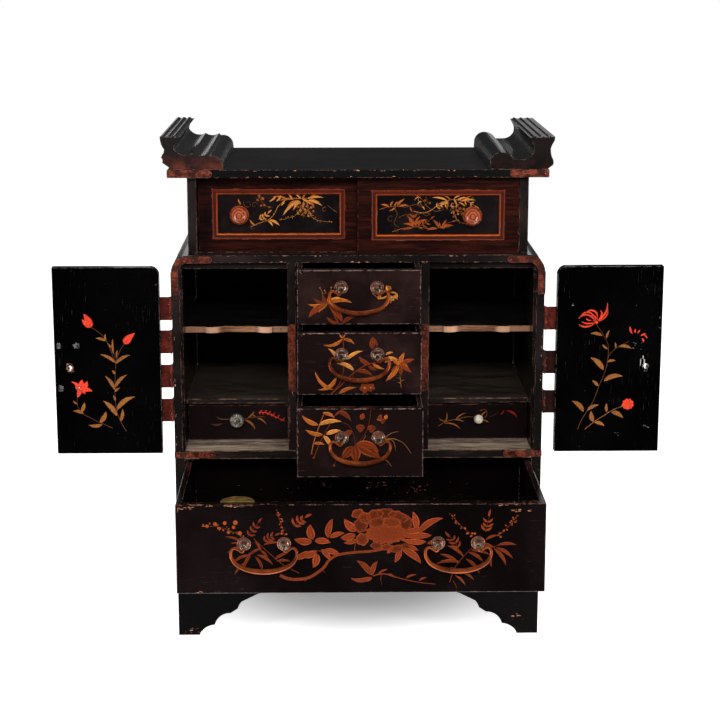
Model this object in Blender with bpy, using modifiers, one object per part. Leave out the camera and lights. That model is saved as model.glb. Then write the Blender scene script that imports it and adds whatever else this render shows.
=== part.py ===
"""Lacquered table cabinet: a jewelry armoire with drawers, hinged doors and sliding doors.

Units are metres and +Z is up. Every size below is measured from the front plane of the
carcass (y = 0, the cabinet goes back towards +y), the middle of its width (x = 0) and the
surface that it stands on (z = 0). The empty "cabinet" carries everything and sets the
whole model's place: the rest pose is centred over the origin.

Rest pose: both side doors are folded back flat beside the carcass, the three centre
drawers and the bottom drawer are pulled out, and everything else is closed.
"""

from math import cos, pi, radians, sin

import bmesh
import bpy
from mathutils import Matrix, Vector

# ---------------------------------------------------------------- driving dimensions

GAP = 0.0003                 # between touching pieces

# carcass
HALF_WIDTH = 0.225
DEPTH = 0.256
PLINTH_TOP = 0.1055
BASE_TOP = 0.1200
FLOOR_BOTTOM = 0.2285        # the board between the bottom drawer and the bays
FLOOR_TOP = 0.2390
SIDE_TOP = 0.4609
CARCASS_UNDER = 0.4724       # underside of the carcass top, where the doors close
CARCASS_TOP = 0.4812
CORNER_R = 0.0200            # outer round of the carcass top
SIDE_T = 0.0120
BAY_CEILING = 0.4630
BACK_T = 0.0060
REBATE_IN = 0.0096           # width of the front band outside a closed door
REBATE_DEEP = 0.0128
DIVIDER_IN = 0.0752
DIVIDER_OUT = 0.0857

# upper case with the sliding doors
UPPER_HALF = 0.2050
UPPER_T = 0.0110
UPPER_FRONT = 0.0150
TOP_UNDER = 0.5745
TOP_UPPER = 0.5838
TOP_HALF = 0.2270
GROOVE_LOW = 0.0040
GROOVE_HIGH = 0.0050

# sliding doors
SLIDE_T = 0.0104
SLIDE_WIDTH = 0.1945
SLIDE_FRONT_Y = 0.0158       # front face of the door in the front track
SLIDE_REAR_Y = 0.0288        # front face of the door in the rear track
TRACK_PLAY = 0.0003
KNOB_X = 0.1395
KNOB_Z = 0.5280

# hinged doors (closed positions)
DOOR_T = 0.0120
DOOR_HINGE_X = 0.2149
DOOR_FREE_X = 0.0874
DOOR_BOTTOM = 0.2400
DOOR_TOP = 0.4695
DOOR_CORNER_R = 0.0110
HINGE_X = 0.2268
HINGE_Y = -0.0010
DOOR_OPEN = 180.0            # degrees, the rest pose
STRAP_HIGH = 0.0285
STRAP_T = 0.0010
STRAP_ON_DOOR = 0.0230
KNUCKLE_R = 0.0016
BORE_R = 0.0010
PIN_R = 0.0007
LEAF_DEEP = 0.0200
STRAP_Z = {"left": (0.4170, 0.3760, 0.3335, 0.2910), "right": (0.4038, 0.3494, 0.3000)}
KEYHOLE_FROM_EDGE = 0.0180
KEYHOLE_Z = 0.3470

# centre drawers: bottom, top, and how far each is pulled out at rest
DRAWER_HALF = 0.0732
CENTRE_DRAWERS = {
    "upper": (0.4067, 0.4717, 0.0508),
    "middle": (0.3271, 0.4013, 0.0748),
    "lower": (0.2398, 0.3219, 0.1222),
}
RAIL_T = 0.0042
DRAWER_DEPTH = 0.2350

# bottom drawer
BOTTOM_HALF = 0.2106
BOTTOM_LOW = 0.1207
BOTTOM_HIGH = 0.2263
BOTTOM_PULL = 0.1860
BOTTOM_DEPTH = 0.2400
BOTTOM_BAIL_X = 0.1105

# side bays
SHELF_LOW = 0.3780
SHELF_HIGH = 0.3853
SHELF_FRONT = 0.0450
INNER_FRONT = 0.0500
INNER_TOP = 0.2845
LID_LOW = 0.2875
LID_HIGH = 0.2935

# bail handles
ROSETTE_R = 0.0080
RING_R = 0.0031
RING_WIRE = 0.0009
RING_DROP = 0.0025           # centre of the ring below the rosette's
RING_OUT = 0.0052            # ring plane in front of the drawer's face
HOOK_R = 0.0023              # centre line of the bail's hook round the ring's wire
HOOK_WIRE = 0.00095

# the rest pose reaches from the bottom drawer's hooks to the back of the carcass
FRONT_REACH = BOTTOM_PULL + GAP + RING_OUT + HOOK_R + HOOK_WIRE
FRONT_Y = (FRONT_REACH - DEPTH) / 2

COLOURS = {                  # base colour, roughness, metallic
    "black_lacquer": ((0.012, 0.010, 0.010), 0.25, 0.0),
    "brown_lacquer": ((0.060, 0.018, 0.012), 0.35, 0.0),
    "door_frame_wood": ((0.040, 0.012, 0.008), 0.35, 0.0),
    "inner_wood": ((0.045, 0.032, 0.024), 0.60, 0.0),
    "shelf_wood": ((0.420, 0.210, 0.110), 0.60, 0.0),
    "copper": ((0.480, 0.130, 0.060), 0.35, 1.0),
    "bail_copper": ((0.700, 0.240, 0.080), 0.25, 1.0),
    "knob_wood": ((0.330, 0.070, 0.030), 0.30, 0.0),
    "silver": ((0.700, 0.680, 0.640), 0.30, 1.0),
    "ivory": ((0.780, 0.730, 0.620), 0.40, 0.0),
    "brass": ((0.620, 0.480, 0.160), 0.35, 1.0),
}


# ---------------------------------------------------------------- general helpers

def clear_scene():
    for obj in list(bpy.data.objects):
        bpy.data.objects.remove(obj, do_unlink=True)


def new_collection(name):
    collection = bpy.data.collections.new(name)
    bpy.context.scene.collection.children.link(collection)
    return collection


def make_material(name, slot):
    colour, roughness, metallic = COLOURS[slot]
    material = bpy.data.materials.new(name)
    material.use_nodes = True
    shader = material.node_tree.nodes["Principled BSDF"]
    shader.inputs["Base Color"].default_value = (*colour, 1.0)
    shader.inputs["Roughness"].default_value = roughness
    shader.inputs["Metallic"].default_value = metallic
    return material


def place(obj, slot, parent, location=(0, 0, 0), rotation=(0, 0, 0)):
    """Give a piece its own material, its parent and its place, and file it with the parts."""
    obj.data.materials.append(make_material(obj.name, slot))
    obj.parent = parent
    obj.location = location
    obj.rotation_euler = rotation
    PARTS.objects.link(obj)
    return obj


def axis_empty(name, parent, location=(0, 0, 0), turn=0.0):
    """An empty on a joint's axis, which carries the pieces that move together."""
    empty = bpy.data.objects.new(name, None)
    empty.empty_display_size = 0.02
    empty.parent = parent
    empty.location = location
    empty.rotation_euler = (0, 0, radians(turn))
    PARTS.objects.link(empty)
    return empty


def box_mesh(name, low, high):
    """A box about its own middle, with its size in the mesh. Returns the mesh and the middle."""
    size = Vector(high) - Vector(low)
    bm = bmesh.new()
    bmesh.ops.create_cube(bm, size=1.0)
    bmesh.ops.scale(bm, vec=size, verts=bm.verts)
    mesh = bpy.data.meshes.new(name)
    bm.to_mesh(mesh)
    bm.free()
    return mesh, (Vector(low) + Vector(high)) / 2


def soften(obj, width, segments=1):
    """Break the sharp edges of a piece."""
    bevel = obj.modifiers.new("soft_edges", "BEVEL")
    bevel.width = width
    bevel.segments = segments
    bevel.limit_method = "ANGLE"
    return obj


def box(name, low, high, slot, parent, edge=0.0005):
    mesh, middle = box_mesh(name, low, high)
    obj = place(bpy.data.objects.new(name, mesh), slot, parent, middle)
    if edge:
        soften(obj, edge)
    return obj


def file_cutter(obj, parent, location=(0, 0, 0), rotation=(0, 0, 0)):
    obj.parent = parent
    obj.location = location
    obj.rotation_euler = rotation
    obj.hide_render = True
    obj.display_type = "WIRE"
    CUTTERS.objects.link(obj)
    return obj


def cutter_box(name, low, high, parent):
    mesh, middle = box_mesh(name, low, high)
    return file_cutter(bpy.data.objects.new(name, mesh), parent, middle)


def combine(obj, other, operation):
    boolean = obj.modifiers.new(operation.lower(), "BOOLEAN")
    boolean.operation = operation
    boolean.object = other


def cut(obj, *cutters):
    for cutter in cutters:
        combine(obj, cutter, "DIFFERENCE")


def join(obj, *others):
    for other in others:
        combine(obj, other, "UNION")


def arc_outline(corners, step=radians(10)):
    """Expand (a, b, bulge) corners into points.

    bulge is the tangent of a quarter of the arc to the next corner: 0 is a straight edge,
    a positive value turns to the left of the way the outline runs.
    """
    points = []
    for index, (ax, ay, bulge) in enumerate(corners):
        bx, by, _ = corners[(index + 1) % len(corners)]
        points.append((ax, ay))
        if not bulge:
            continue
        chord = Vector((bx - ax, by - ay))
        sweep = 4 * bulge_angle(bulge)
        radius = chord.length / (2 * sin(sweep / 2))
        centre = Vector((ax, ay)) + chord / 2
        centre += Vector((-chord.y, chord.x)).normalized() * radius * cos(sweep / 2)
        start = Vector((ax, ay)) - centre
        count = max(2, round(abs(sweep) / step))
        for part in range(1, count):
            turned = Matrix.Rotation(sweep * part / count, 2) @ start
            points.append(tuple(centre + turned))
    return points


def bulge_angle(bulge):
    """A quarter of the arc's angle, for the small bulges used here."""
    return Vector((1, bulge)).angle_signed(Vector((1, 0)))


TURN = {
    "front": (pi / 2, 0, 0),         # outline in x, z; thickness along y
    "side": (pi / 2, 0, pi / 2),     # outline in y, z; thickness along x
    "plan": (0, 0, 0),               # outline in x, y; thickness along z
}


def plate_curve(name, outline, thickness):
    """A flat filled outline with a thickness."""
    curve = bpy.data.curves.new(name, "CURVE")
    curve.dimensions = "2D"
    curve.fill_mode = "BOTH"
    curve.extrude = thickness / 2
    spline = curve.splines.new("POLY")
    spline.points.add(len(outline) - 1)
    for point, (a, b) in zip(spline.points, outline):
        point.co = (a, b, 0, 1)
    spline.use_cyclic_u = True
    return bpy.data.objects.new(name, curve)


def mesh_of(obj):
    """Turn a curve object that isn't placed yet into one welded mesh object."""
    bpy.context.scene.collection.objects.link(obj)
    evaluated = obj.evaluated_get(bpy.context.evaluated_depsgraph_get())
    mesh = bpy.data.meshes.new_from_object(evaluated)
    name = obj.name
    matrix = obj.matrix_world.copy()
    bpy.data.objects.remove(obj, do_unlink=True)
    bm = bmesh.new()
    bm.from_mesh(mesh)
    bmesh.ops.remove_doubles(bm, verts=bm.verts, dist=0.00001)
    bmesh.ops.recalc_face_normals(bm, faces=bm.faces)
    bm.to_mesh(mesh)
    bm.free()
    result = bpy.data.objects.new(name, mesh)
    result.matrix_world = matrix
    return result


def plate(name, outline, low, high, view, slot, parent):
    """An outline standing in a view, filling the span from low to high across it."""
    obj = mesh_of(plate_curve(name, outline, high - low))
    middle = (low + high) / 2
    location = {"front": (0, middle, 0), "side": (middle, 0, 0), "plan": (0, 0, middle)}[view]
    return place(obj, slot, parent, location, TURN[view])


def plate_cutter(name, outline, low, high, view, parent):
    obj = mesh_of(plate_curve(name, outline, high - low))
    middle = (low + high) / 2
    location = {"front": (0, middle, 0), "side": (middle, 0, 0), "plan": (0, 0, middle)}[view]
    return file_cutter(obj, parent, location, TURN[view])


def turned_object(name, profile, steps):
    """A profile (radius, height), from its top down its outer side, turned about Z."""
    mesh = bpy.data.meshes.new(name)
    points = [(radius, 0, height) for radius, height in profile]
    edges = [(index, index + 1) for index in range(len(points) - 1)]
    mesh.from_pydata(points, edges, [])
    obj = bpy.data.objects.new(name, mesh)
    screw = obj.modifiers.new("turned", "SCREW")
    screw.steps = steps
    screw.render_steps = steps
    screw.use_merge_vertices = True
    screw.merge_threshold = 0.00001
    screw.use_smooth_shade = True
    return obj


def turned(name, profile, steps, slot, parent, location):
    """A turned piece whose top faces the front of the cabinet."""
    return place(turned_object(name, profile, steps), slot, parent, location, TURN["front"])


def cylinder_object(name, radius, length, sides):
    bm = bmesh.new()
    bmesh.ops.create_cone(
        bm, cap_ends=True, segments=sides, radius1=radius, radius2=radius, depth=length
    )
    mesh = bpy.data.meshes.new(name)
    bm.to_mesh(mesh)
    bm.free()
    return bpy.data.objects.new(name, mesh)


def torus_object(name, radius, wire, steps, sides):
    """A ring about Z: a circle of the wire turned round the axis."""
    bm = bmesh.new()
    bmesh.ops.create_circle(bm, segments=sides, radius=wire)
    upright = Matrix.Translation((radius, 0, 0)) @ Matrix.Rotation(pi / 2, 4, "X")
    bmesh.ops.transform(bm, matrix=upright, verts=bm.verts)
    mesh = bpy.data.meshes.new(name)
    bm.to_mesh(mesh)
    bm.free()
    obj = bpy.data.objects.new(name, mesh)
    screw = obj.modifiers.new("turned", "SCREW")
    screw.steps = steps
    screw.render_steps = steps
    screw.use_merge_vertices = True
    screw.merge_threshold = 0.00001
    return obj


def smooth_path(points, per_span):
    """Points of a smooth curve through the given (x, y, z, radius) points."""
    path = []
    padded = [points[0], *points, points[-1]]
    for before, start, end, after in zip(padded, padded[1:], padded[2:], padded[3:]):
        for part in range(per_span):
            t = part / per_span
            weights = (
                -0.5 * t + t * t - 0.5 * t ** 3,
                1 - 2.5 * t * t + 1.5 * t ** 3,
                0.5 * t + 2 * t * t - 1.5 * t ** 3,
                -0.5 * t * t + 0.5 * t ** 3,
            )
            corners = (before, start, end, after)
            path.append([sum(w * c[i] for w, c in zip(weights, corners)) for i in range(4)])
    path.append(list(points[-1]))
    return path


# ---------------------------------------------------------------- carcass

def round_top_outline():
    """The carcass top seen from the front: a board with round corners and short legs."""
    inner = HALF_WIDTH - REBATE_IN
    inner_r = CORNER_R - REBATE_IN + 0.0006
    foot = SIDE_TOP + GAP
    quarter = 0.41421
    return arc_outline([
        (-HALF_WIDTH, foot, 0),
        (-inner, foot, 0),
        (-inner, CARCASS_UNDER - inner_r, -quarter),
        (-inner + inner_r, CARCASS_UNDER, 0),
        (inner - inner_r, CARCASS_UNDER, -quarter),
        (inner, CARCASS_UNDER - inner_r, 0),
        (inner, foot, 0),
        (HALF_WIDTH, foot, 0),
        (HALF_WIDTH, CARCASS_TOP - CORNER_R, quarter),
        (HALF_WIDTH - CORNER_R, CARCASS_TOP, 0),
        (CORNER_R - HALF_WIDTH, CARCASS_TOP, quarter),
        (-HALF_WIDTH, CARCASS_TOP - CORNER_R, 0),
    ])


def bay_ceiling_outline(side):
    """Behind the doors the top is thicker over each bay, which stops the door."""
    foot = SIDE_TOP + GAP
    skin = HALF_WIDTH - 0.0020
    wall = HALF_WIDTH - SIDE_T
    return [(side * x, z) for x, z in (
        (skin, foot),
        (skin, 0.4670),
        (wall, 0.4740),
        (DIVIDER_OUT + 0.0005, 0.4740),
        (DIVIDER_OUT + 0.0005, BAY_CEILING),
        (wall, BAY_CEILING),
        (wall, foot),
    )]


def track_cutters(name, low, high, parent):
    """The two grooves that the sliding doors run in."""
    half = UPPER_HALF - UPPER_T
    cutters = []
    for track, front in (("front", SLIDE_FRONT_Y), ("rear", SLIDE_REAR_Y)):
        cutters.append(cutter_box(
            f"{name}_{track}_groove",
            (-half, front - TRACK_PLAY, low),
            (half, front + SLIDE_T + TRACK_PLAY, high),
            parent,
        ))
    return cutters


def build_carcass(root):
    top = plate("carcass_top", round_top_outline(), 0, DEPTH, "front", "black_lacquer", root)
    for side, label in ((-1, "left"), (1, "right")):
        join(top, plate_cutter(
            f"bay_ceiling_{label}", bay_ceiling_outline(side), REBATE_DEEP, DEPTH, "front", root
        ))
    wall = HALF_WIDTH - SIDE_T
    join(top, cutter_box(
        "back_batten", (-wall, DEPTH - BACK_T, SIDE_TOP + GAP), (wall, DEPTH, 0.4740), root
    ))
    cut(top, *track_cutters("lower", CARCASS_TOP - GROOVE_LOW, CARCASS_TOP + 0.01, root))

    for side, label in ((-1, "left"), (1, "right")):
        xs = sorted((side * wall, side * HALF_WIDTH))
        board = box(
            f"carcass_side_{label}",
            (xs[0], 0, PLINTH_TOP + GAP), (xs[1], DEPTH, SIDE_TOP), "black_lacquer", root, 0,
        )
        rebate = sorted((side * (wall - 0.01), side * (HALF_WIDTH - REBATE_IN)))
        cut(board, cutter_box(
            f"door_rebate_{label}",
            (rebate[0], -0.01, FLOOR_TOP), (rebate[1], REBATE_DEEP, SIDE_TOP + 0.01), root,
        ))

    inside = wall - GAP
    back = DEPTH - BACK_T - GAP
    box("back_panel", (-inside, DEPTH - BACK_T, BASE_TOP + GAP), (inside, DEPTH, SIDE_TOP),
        "black_lacquer", root, 0)
    box("base_board", (-inside, 0, PLINTH_TOP + GAP), (inside, DEPTH, BASE_TOP),
        "black_lacquer", root)
    box("bay_floor", (-inside, 0, FLOOR_BOTTOM), (inside, back, FLOOR_TOP), "inner_wood", root)
    for side, label in ((-1, "left"), (1, "right")):
        xs = sorted((side * DIVIDER_IN, side * DIVIDER_OUT))
        box(f"divider_{label}", (xs[0], 0, FLOOR_TOP + GAP), (xs[1], back, CARCASS_UNDER - GAP),
            "black_lacquer", root)

    for label, above, below in (("upper", "upper", "middle"), ("lower", "middle", "lower")):
        middle = (CENTRE_DRAWERS[above][0] + CENTRE_DRAWERS[below][1]) / 2
        box(f"drawer_rail_{label}",
            (GAP - DIVIDER_IN, 0.0010, middle - RAIL_T / 2),
            (DIVIDER_IN - GAP, back, middle + RAIL_T / 2), "inner_wood", root)


def shelf_outline(side):
    """A shelf seen from above: its front edge swells and dips between two flat ends."""
    near = DIVIDER_OUT + GAP
    far = HALF_WIDTH - SIDE_T - GAP
    lobe = SHELF_FRONT - 0.0040
    dip = SHELF_FRONT + 0.0020
    front = arc_outline([
        (near, SHELF_FRONT, 0),
        (near + 0.0200, SHELF_FRONT, 0),
        (near + 0.0200, lobe + 0.0015, 0.30),
        (near + 0.0360, lobe + 0.0030, -0.22),
        (near + 0.0540, dip, 0),
        (far - 0.0590, dip, -0.22),
        (far - 0.0410, lobe + 0.0030, 0.30),
        (far - 0.0250, lobe + 0.0015, 0),
        (far - 0.0250, SHELF_FRONT, 0),
        (far, SHELF_FRONT, 0),
        (far, DEPTH - BACK_T - GAP, 0),
        (near, DEPTH - BACK_T - GAP, 0),
    ])
    return [(side * x, y) for x, y in front]


def build_bays(root):
    near = DIVIDER_OUT + GAP
    far = HALF_WIDTH - SIDE_T - GAP
    for side, label in ((-1, "left"), (1, "right")):
        plate(f"shelf_{label}", shelf_outline(side), SHELF_LOW, SHELF_HIGH, "plan",
              "shelf_wood", root)
        xs = sorted((side * near, side * far))
        box(f"inner_drawer_lid_{label}", (xs[0], SHELF_FRONT, LID_LOW),
            (xs[1], DEPTH - BACK_T - GAP, LID_HIGH), "black_lacquer", root)


def foot_profile(stretch):
    """Half of the plinth's arch, from the foot up: three stepped lobes, then a flat crown.

    Each corner is (distance in from the end, height, bulge to the next corner).
    """
    return [
        (0.0265 * stretch, -0.0100, 0),
        (0.0265 * stretch, 0.0020, 0.25),
        (0.0450 * stretch, 0.0134, 0),
        (0.0466 * stretch, 0.0176, 0.30),
        (0.0650 * stretch, 0.0286, 0),
        (0.0740 * stretch, 0.0345, 0.12),
        (0.0790 * stretch, 0.0435, 0),
        (0.0990 * stretch, 0.0535, -0.15),
        (0.1110 * stretch, 0.0600, 0),
    ]


def arch_outline(start, end, stretch):
    """The whole arch between two ends, as an outline for a cutter below the crown."""
    rise = foot_profile(stretch)
    corners = [(start + a, z, bulge) for a, z, bulge in rise]
    for index in range(len(rise) - 1, -1, -1):
        a, z, _ = rise[index]
        bulge = rise[index - 1][2] if index else 0
        corners.append((end - a, z, bulge))
    return arc_outline([(a, z, -bulge) for a, z, bulge in corners])


def build_plinth(root):
    plinth = box("plinth_frame", (-HALF_WIDTH, 0, 0), (HALF_WIDTH, DEPTH, PLINTH_TOP),
                 "black_lacquer", root, 0)
    wall = 0.0120
    cut(
        plinth,
        cutter_box("plinth_inside", (wall - HALF_WIDTH, wall, -0.01),
                   (HALF_WIDTH - wall, DEPTH - wall, PLINTH_TOP + 0.01), root),
        plate_cutter("front_arch", arch_outline(-HALF_WIDTH, HALF_WIDTH, 1.0),
                     -0.02, DEPTH + 0.02, "front", root),
        plate_cutter("side_arch", arch_outline(0, DEPTH, 0.8),
                     -HALF_WIDTH - 0.02, HALF_WIDTH + 0.02, "side", root),
    )


# ---------------------------------------------------------------- upper case

def scroll_left_outline():
    """Left roof end seen from the front: block, waist and bulge, two troughs and a roll."""
    return arc_outline([
        (-0.2352, 0.6230, 0),
        (-0.2347, 0.6182, 0.14),
        (-0.2302, 0.6080, 0.10),
        (-0.2308, 0.6045, 0.10),
        (-0.2342, 0.5985, -0.38),
        (-0.2330, 0.5925, 0),
        (-0.2250, 0.5868, 0),
        (-0.2250, TOP_UPPER + GAP, 0),
        (-0.1605, TOP_UPPER + GAP, 0),
        (-0.1610, 0.5900, 0.42),
        (-0.1770, 0.6006, 0),
        (-0.1795, 0.6032, -0.32),
        (-0.1970, 0.6034, -0.40),
        (-0.2186, 0.6090, -0.20),
        (-0.2150, 0.6185, 0),
        (-0.2115, 0.6225, 0),
    ])


def scroll_right_outline():
    """Right roof end seen from the front: block, waist and bulge, one wide trough and a roll."""
    return arc_outline([
        (0.2042, 0.6215, 0),
        (0.2085, 0.6135, -0.18),
        (0.2085, 0.6035, -0.28),
        (0.1950, 0.5957, 0),
        (0.1855, 0.5957, 0),
        (0.1815, 0.6003, 0.22),
        (0.1670, 0.6040, 0.30),
        (0.1572, 0.5930, 0),
        (0.1568, TOP_UPPER + GAP, 0),
        (0.2255, TOP_UPPER + GAP, 0),
        (0.2320, 0.5890, 0.25),
        (0.2312, 0.5970, -0.12),
        (0.2290, 0.6085, -0.10),
        (0.2335, 0.6180, 0),
        (0.2340, 0.6225, 0),
    ])


def build_upper_case(root):
    inner = UPPER_HALF - UPPER_T
    low = CARCASS_TOP + GAP
    high = TOP_UNDER - GAP
    for side, label in ((-1, "left"), (1, "right")):
        xs = sorted((side * inner, side * UPPER_HALF))
        box(f"upper_side_{label}", (xs[0], UPPER_FRONT, low), (xs[1], DEPTH, high),
            "black_lacquer", root)
    box("upper_back", (GAP - inner, DEPTH - BACK_T, low), (inner - GAP, DEPTH, high),
        "black_lacquer", root, 0)
    top = box("top_board", (-TOP_HALF, 0, TOP_UNDER), (TOP_HALF, DEPTH, TOP_UPPER),
              "black_lacquer", root, 0)
    cut(top, *track_cutters("upper", TOP_UNDER - 0.01, TOP_UNDER + GROOVE_HIGH, root))
    plate("scroll_end_left", scroll_left_outline(), 0.002, DEPTH - 0.001, "front",
          "brown_lacquer", root)
    plate("scroll_end_right", scroll_right_outline(), 0.002, DEPTH - 0.001, "front",
          "black_lacquer", root)


def build_sliding_door(root, label, left, front, knob_x):
    """A framed door: two stepped recesses leave a moulding round the sunk panel."""
    slider = axis_empty(f"sliding_door_{label}_slide", root, (left, front, 0))
    low = CARCASS_TOP - GROOVE_LOW + GAP
    high = TOP_UNDER + GROOVE_HIGH - 0.0015
    door = box(f"sliding_door_{label}", (0, 0, low), (SLIDE_WIDTH, SLIDE_T, high),
               "door_frame_wood", slider)
    for name, margin_x, bottom, top, deep in (
        ("step", 0.0170, 0.4965, 0.5575, 0.0016),
        ("panel", 0.0240, 0.5035, 0.5510, 0.0036),
    ):
        cut(door, cutter_box(
            f"sliding_door_{label}_{name}",
            (margin_x, -0.01, bottom), (SLIDE_WIDTH - margin_x, deep, top), slider,
        ))
    knob = [
        (0.0, 0.0205), (0.0045, 0.0200), (0.0085, 0.0182), (0.0112, 0.0150),
        (0.0117, 0.0120), (0.0108, 0.0092), (0.0080, 0.0068), (0.0052, 0.0054),
        (0.0048, 0.0030), (0.0068, 0.0016), (0.0070, 0.0), (0.0, 0.0),
    ]
    panel_y = 0.0036
    turned(f"sliding_door_knob_{label}", knob, 20, "knob_wood", slider,
           (knob_x - left, panel_y - GAP, KNOB_Z))


def build_sliding_doors(root):
    inner = UPPER_HALF - UPPER_T
    build_sliding_door(root, "left", -inner + 0.0008, SLIDE_REAR_Y, -KNOB_X - 0.0025)
    build_sliding_door(root, "right", inner - GAP - SLIDE_WIDTH, SLIDE_FRONT_Y,
                       KNOB_X - 0.0025)


# ---------------------------------------------------------------- hinged doors

def keyhole_outline(x, z):
    """A round hole with a slot below it, seen from the front."""
    radius = 0.0026
    half_slot = 0.0013
    drop = 0.0062
    start = radians(-90) + 0.52
    sweep = 2 * pi - 1.04
    steps = 12
    ring = []
    for index in range(steps + 1):
        angle = start + sweep * index / steps
        ring.append((x + radius * cos(angle), z + radius * sin(angle)))
    return ring + [(x - half_slot, z - drop), (x + half_slot, z - drop)]


def build_strap(hinge, name, side, z):
    """A door's strap: a plate over the door's face, and the two outer knuckles."""
    low, high = z - STRAP_HIGH / 2, z + STRAP_HIGH / 2
    reach = HINGE_X - DOOR_HINGE_X + STRAP_ON_DOOR
    front = -GAP - STRAP_T - HINGE_Y
    xs = sorted((0, -side * reach))
    strap = box(name, (xs[0], front, low), (xs[1], front + STRAP_T, high), "copper", hinge, 0)
    barrel = file_cutter(
        cylinder_object(f"{name}_barrel", KNUCKLE_R, STRAP_HIGH, 14), hinge, (0, 0, z))
    join(strap, barrel)
    third = STRAP_HIGH / 6
    cut(
        strap,
        cutter_box(f"{name}_slot", (-0.003, -0.003, z - third - GAP), (0.003, 0.003, z + third + GAP),
                   hinge),
        file_cutter(cylinder_object(f"{name}_bore", BORE_R, STRAP_HIGH + 0.01, 12), hinge,
                    (0, 0, z)),
    )


def build_hinge_plate(root, label, side):
    """The carcass's half of the hinges: a plate on its side, middle knuckles and pins."""
    heights = STRAP_Z[label]
    half = STRAP_HIGH / 2
    inner = HALF_WIDTH + GAP
    xs = sorted((side * inner, side * (inner + STRAP_T)))
    hinge = HINGE_Y
    plate_obj = box(
        f"hinge_plate_{label}",
        (xs[0], hinge + KNUCKLE_R + 0.0005, min(heights) - half),
        (xs[1], hinge + LEAF_DEEP, max(heights) + half), "copper", root, 0,
    )
    third = STRAP_HIGH / 6
    for number, z in enumerate(heights):
        join(
            plate_obj,
            cutter_box(f"hinge_tongue_{label}_{number}", (xs[0], hinge, z - third),
                       (xs[1], hinge + 0.004, z + third), root),
            file_cutter(cylinder_object(f"hinge_knuckle_{label}_{number}", KNUCKLE_R, 2 * third, 14),
                        root, (side * HINGE_X, hinge, z)),
            file_cutter(cylinder_object(f"hinge_pin_{label}_{number}", PIN_R, STRAP_HIGH, 12),
                        root, (side * HINGE_X, hinge, z)),
        )


def door_outline(side):
    """A door seen from the front, closed, from its hinge line: one top corner is round."""
    hinge_edge = HINGE_X - DOOR_HINGE_X
    free_edge = HINGE_X - DOOR_FREE_X
    outline = arc_outline([
        (hinge_edge, DOOR_BOTTOM, 0),
        (free_edge, DOOR_BOTTOM, 0),
        (free_edge, DOOR_TOP, 0),
        (hinge_edge + DOOR_CORNER_R, DOOR_TOP, 0.41421),
        (hinge_edge, DOOR_TOP - DOOR_CORNER_R, 0),
    ])
    return [(-side * x, z) for x, z in outline]


def build_hinged_doors(root):
    for side, label in ((-1, "left"), (1, "right")):
        hinge = axis_empty(f"door_{label}_hinge", root, (side * HINGE_X, HINGE_Y, 0),
                           side * DOOR_OPEN)
        door = plate(f"door_{label}", door_outline(side), -HINGE_Y, DOOR_T - HINGE_Y, "front",
                     "black_lacquer", hinge)
        hole_x = -side * (HINGE_X - DOOR_FREE_X - KEYHOLE_FROM_EDGE)
        cut(door, plate_cutter(f"keyhole_{label}", keyhole_outline(hole_x, KEYHOLE_Z),
                               -0.01, DOOR_T + 0.01, "front", hinge))
        soften(door, 0.0006)
        for number, z in enumerate(STRAP_Z[label], 1):
            build_strap(hinge, f"hinge_strap_{label}_{number}", side, z)
        build_hinge_plate(root, label, side)


# ---------------------------------------------------------------- drawers

def drawer_box(name, half, low, high, depth, wall, parent, slot="black_lacquer"):
    """A drawer from one block: the front is the thick wall at y = 0."""
    front = 0.0110
    tray = box(name, (-half, 0, low), (half, depth, high), slot, parent, 0.0006)
    cut(tray, cutter_box(f"{name}_inside", (wall - half, front, low + 0.0050),
                         (half - wall, depth - wall, high + 0.02), parent))
    return tray


def bail_path(half_spread, scale):
    """Centre line and wire radius of a bail, from one hook round to the other.

    x runs across the drawer, z up, and the pivot is at z = 0. The wire hooks over the
    ring from the front, curls up beside it and swells towards the middle of the grip.
    """
    e = half_spread
    s = scale
    half = [
        (e, 0.0003, HOOK_R, HOOK_WIRE),
        (e, -HOOK_R * 0.72, HOOK_R * 0.72, HOOK_WIRE),
        (e, -HOOK_R, 0, HOOK_WIRE),
        (e + 0.0006, -HOOK_R * 0.74, -HOOK_R * 0.78, HOOK_WIRE),
        (e + 0.0024, -0.0004, -0.0026, 0.00110),
        (e + 0.0055, 0, -0.0006, 0.00130),
        (e + 0.0090 * s, 0, 0.0020, 0.00150),
        (e + 0.0124 * s, 0, 0.0006, 0.00170),
        (e + 0.0138 * s, 0, -0.0036 * s, 0.00190),
        (e + 0.0126 * s, 0, -0.0096 * s, 0.00215),
        (e + 0.0078 * s, 0, -0.0163 * s, 0.00250),
        (e - 0.0012 * s, 0, -0.0212 * s, 0.00285),
        (e - 0.0112 * s, 0, -0.0238 * s, 0.00310),
        (0, 0, -0.0246 * s, 0.00320),
    ]
    mirrored = [(-x, y, z, radius) for x, y, z, radius in reversed(half[:-1])]
    return smooth_path(half + mirrored, 2)


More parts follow.
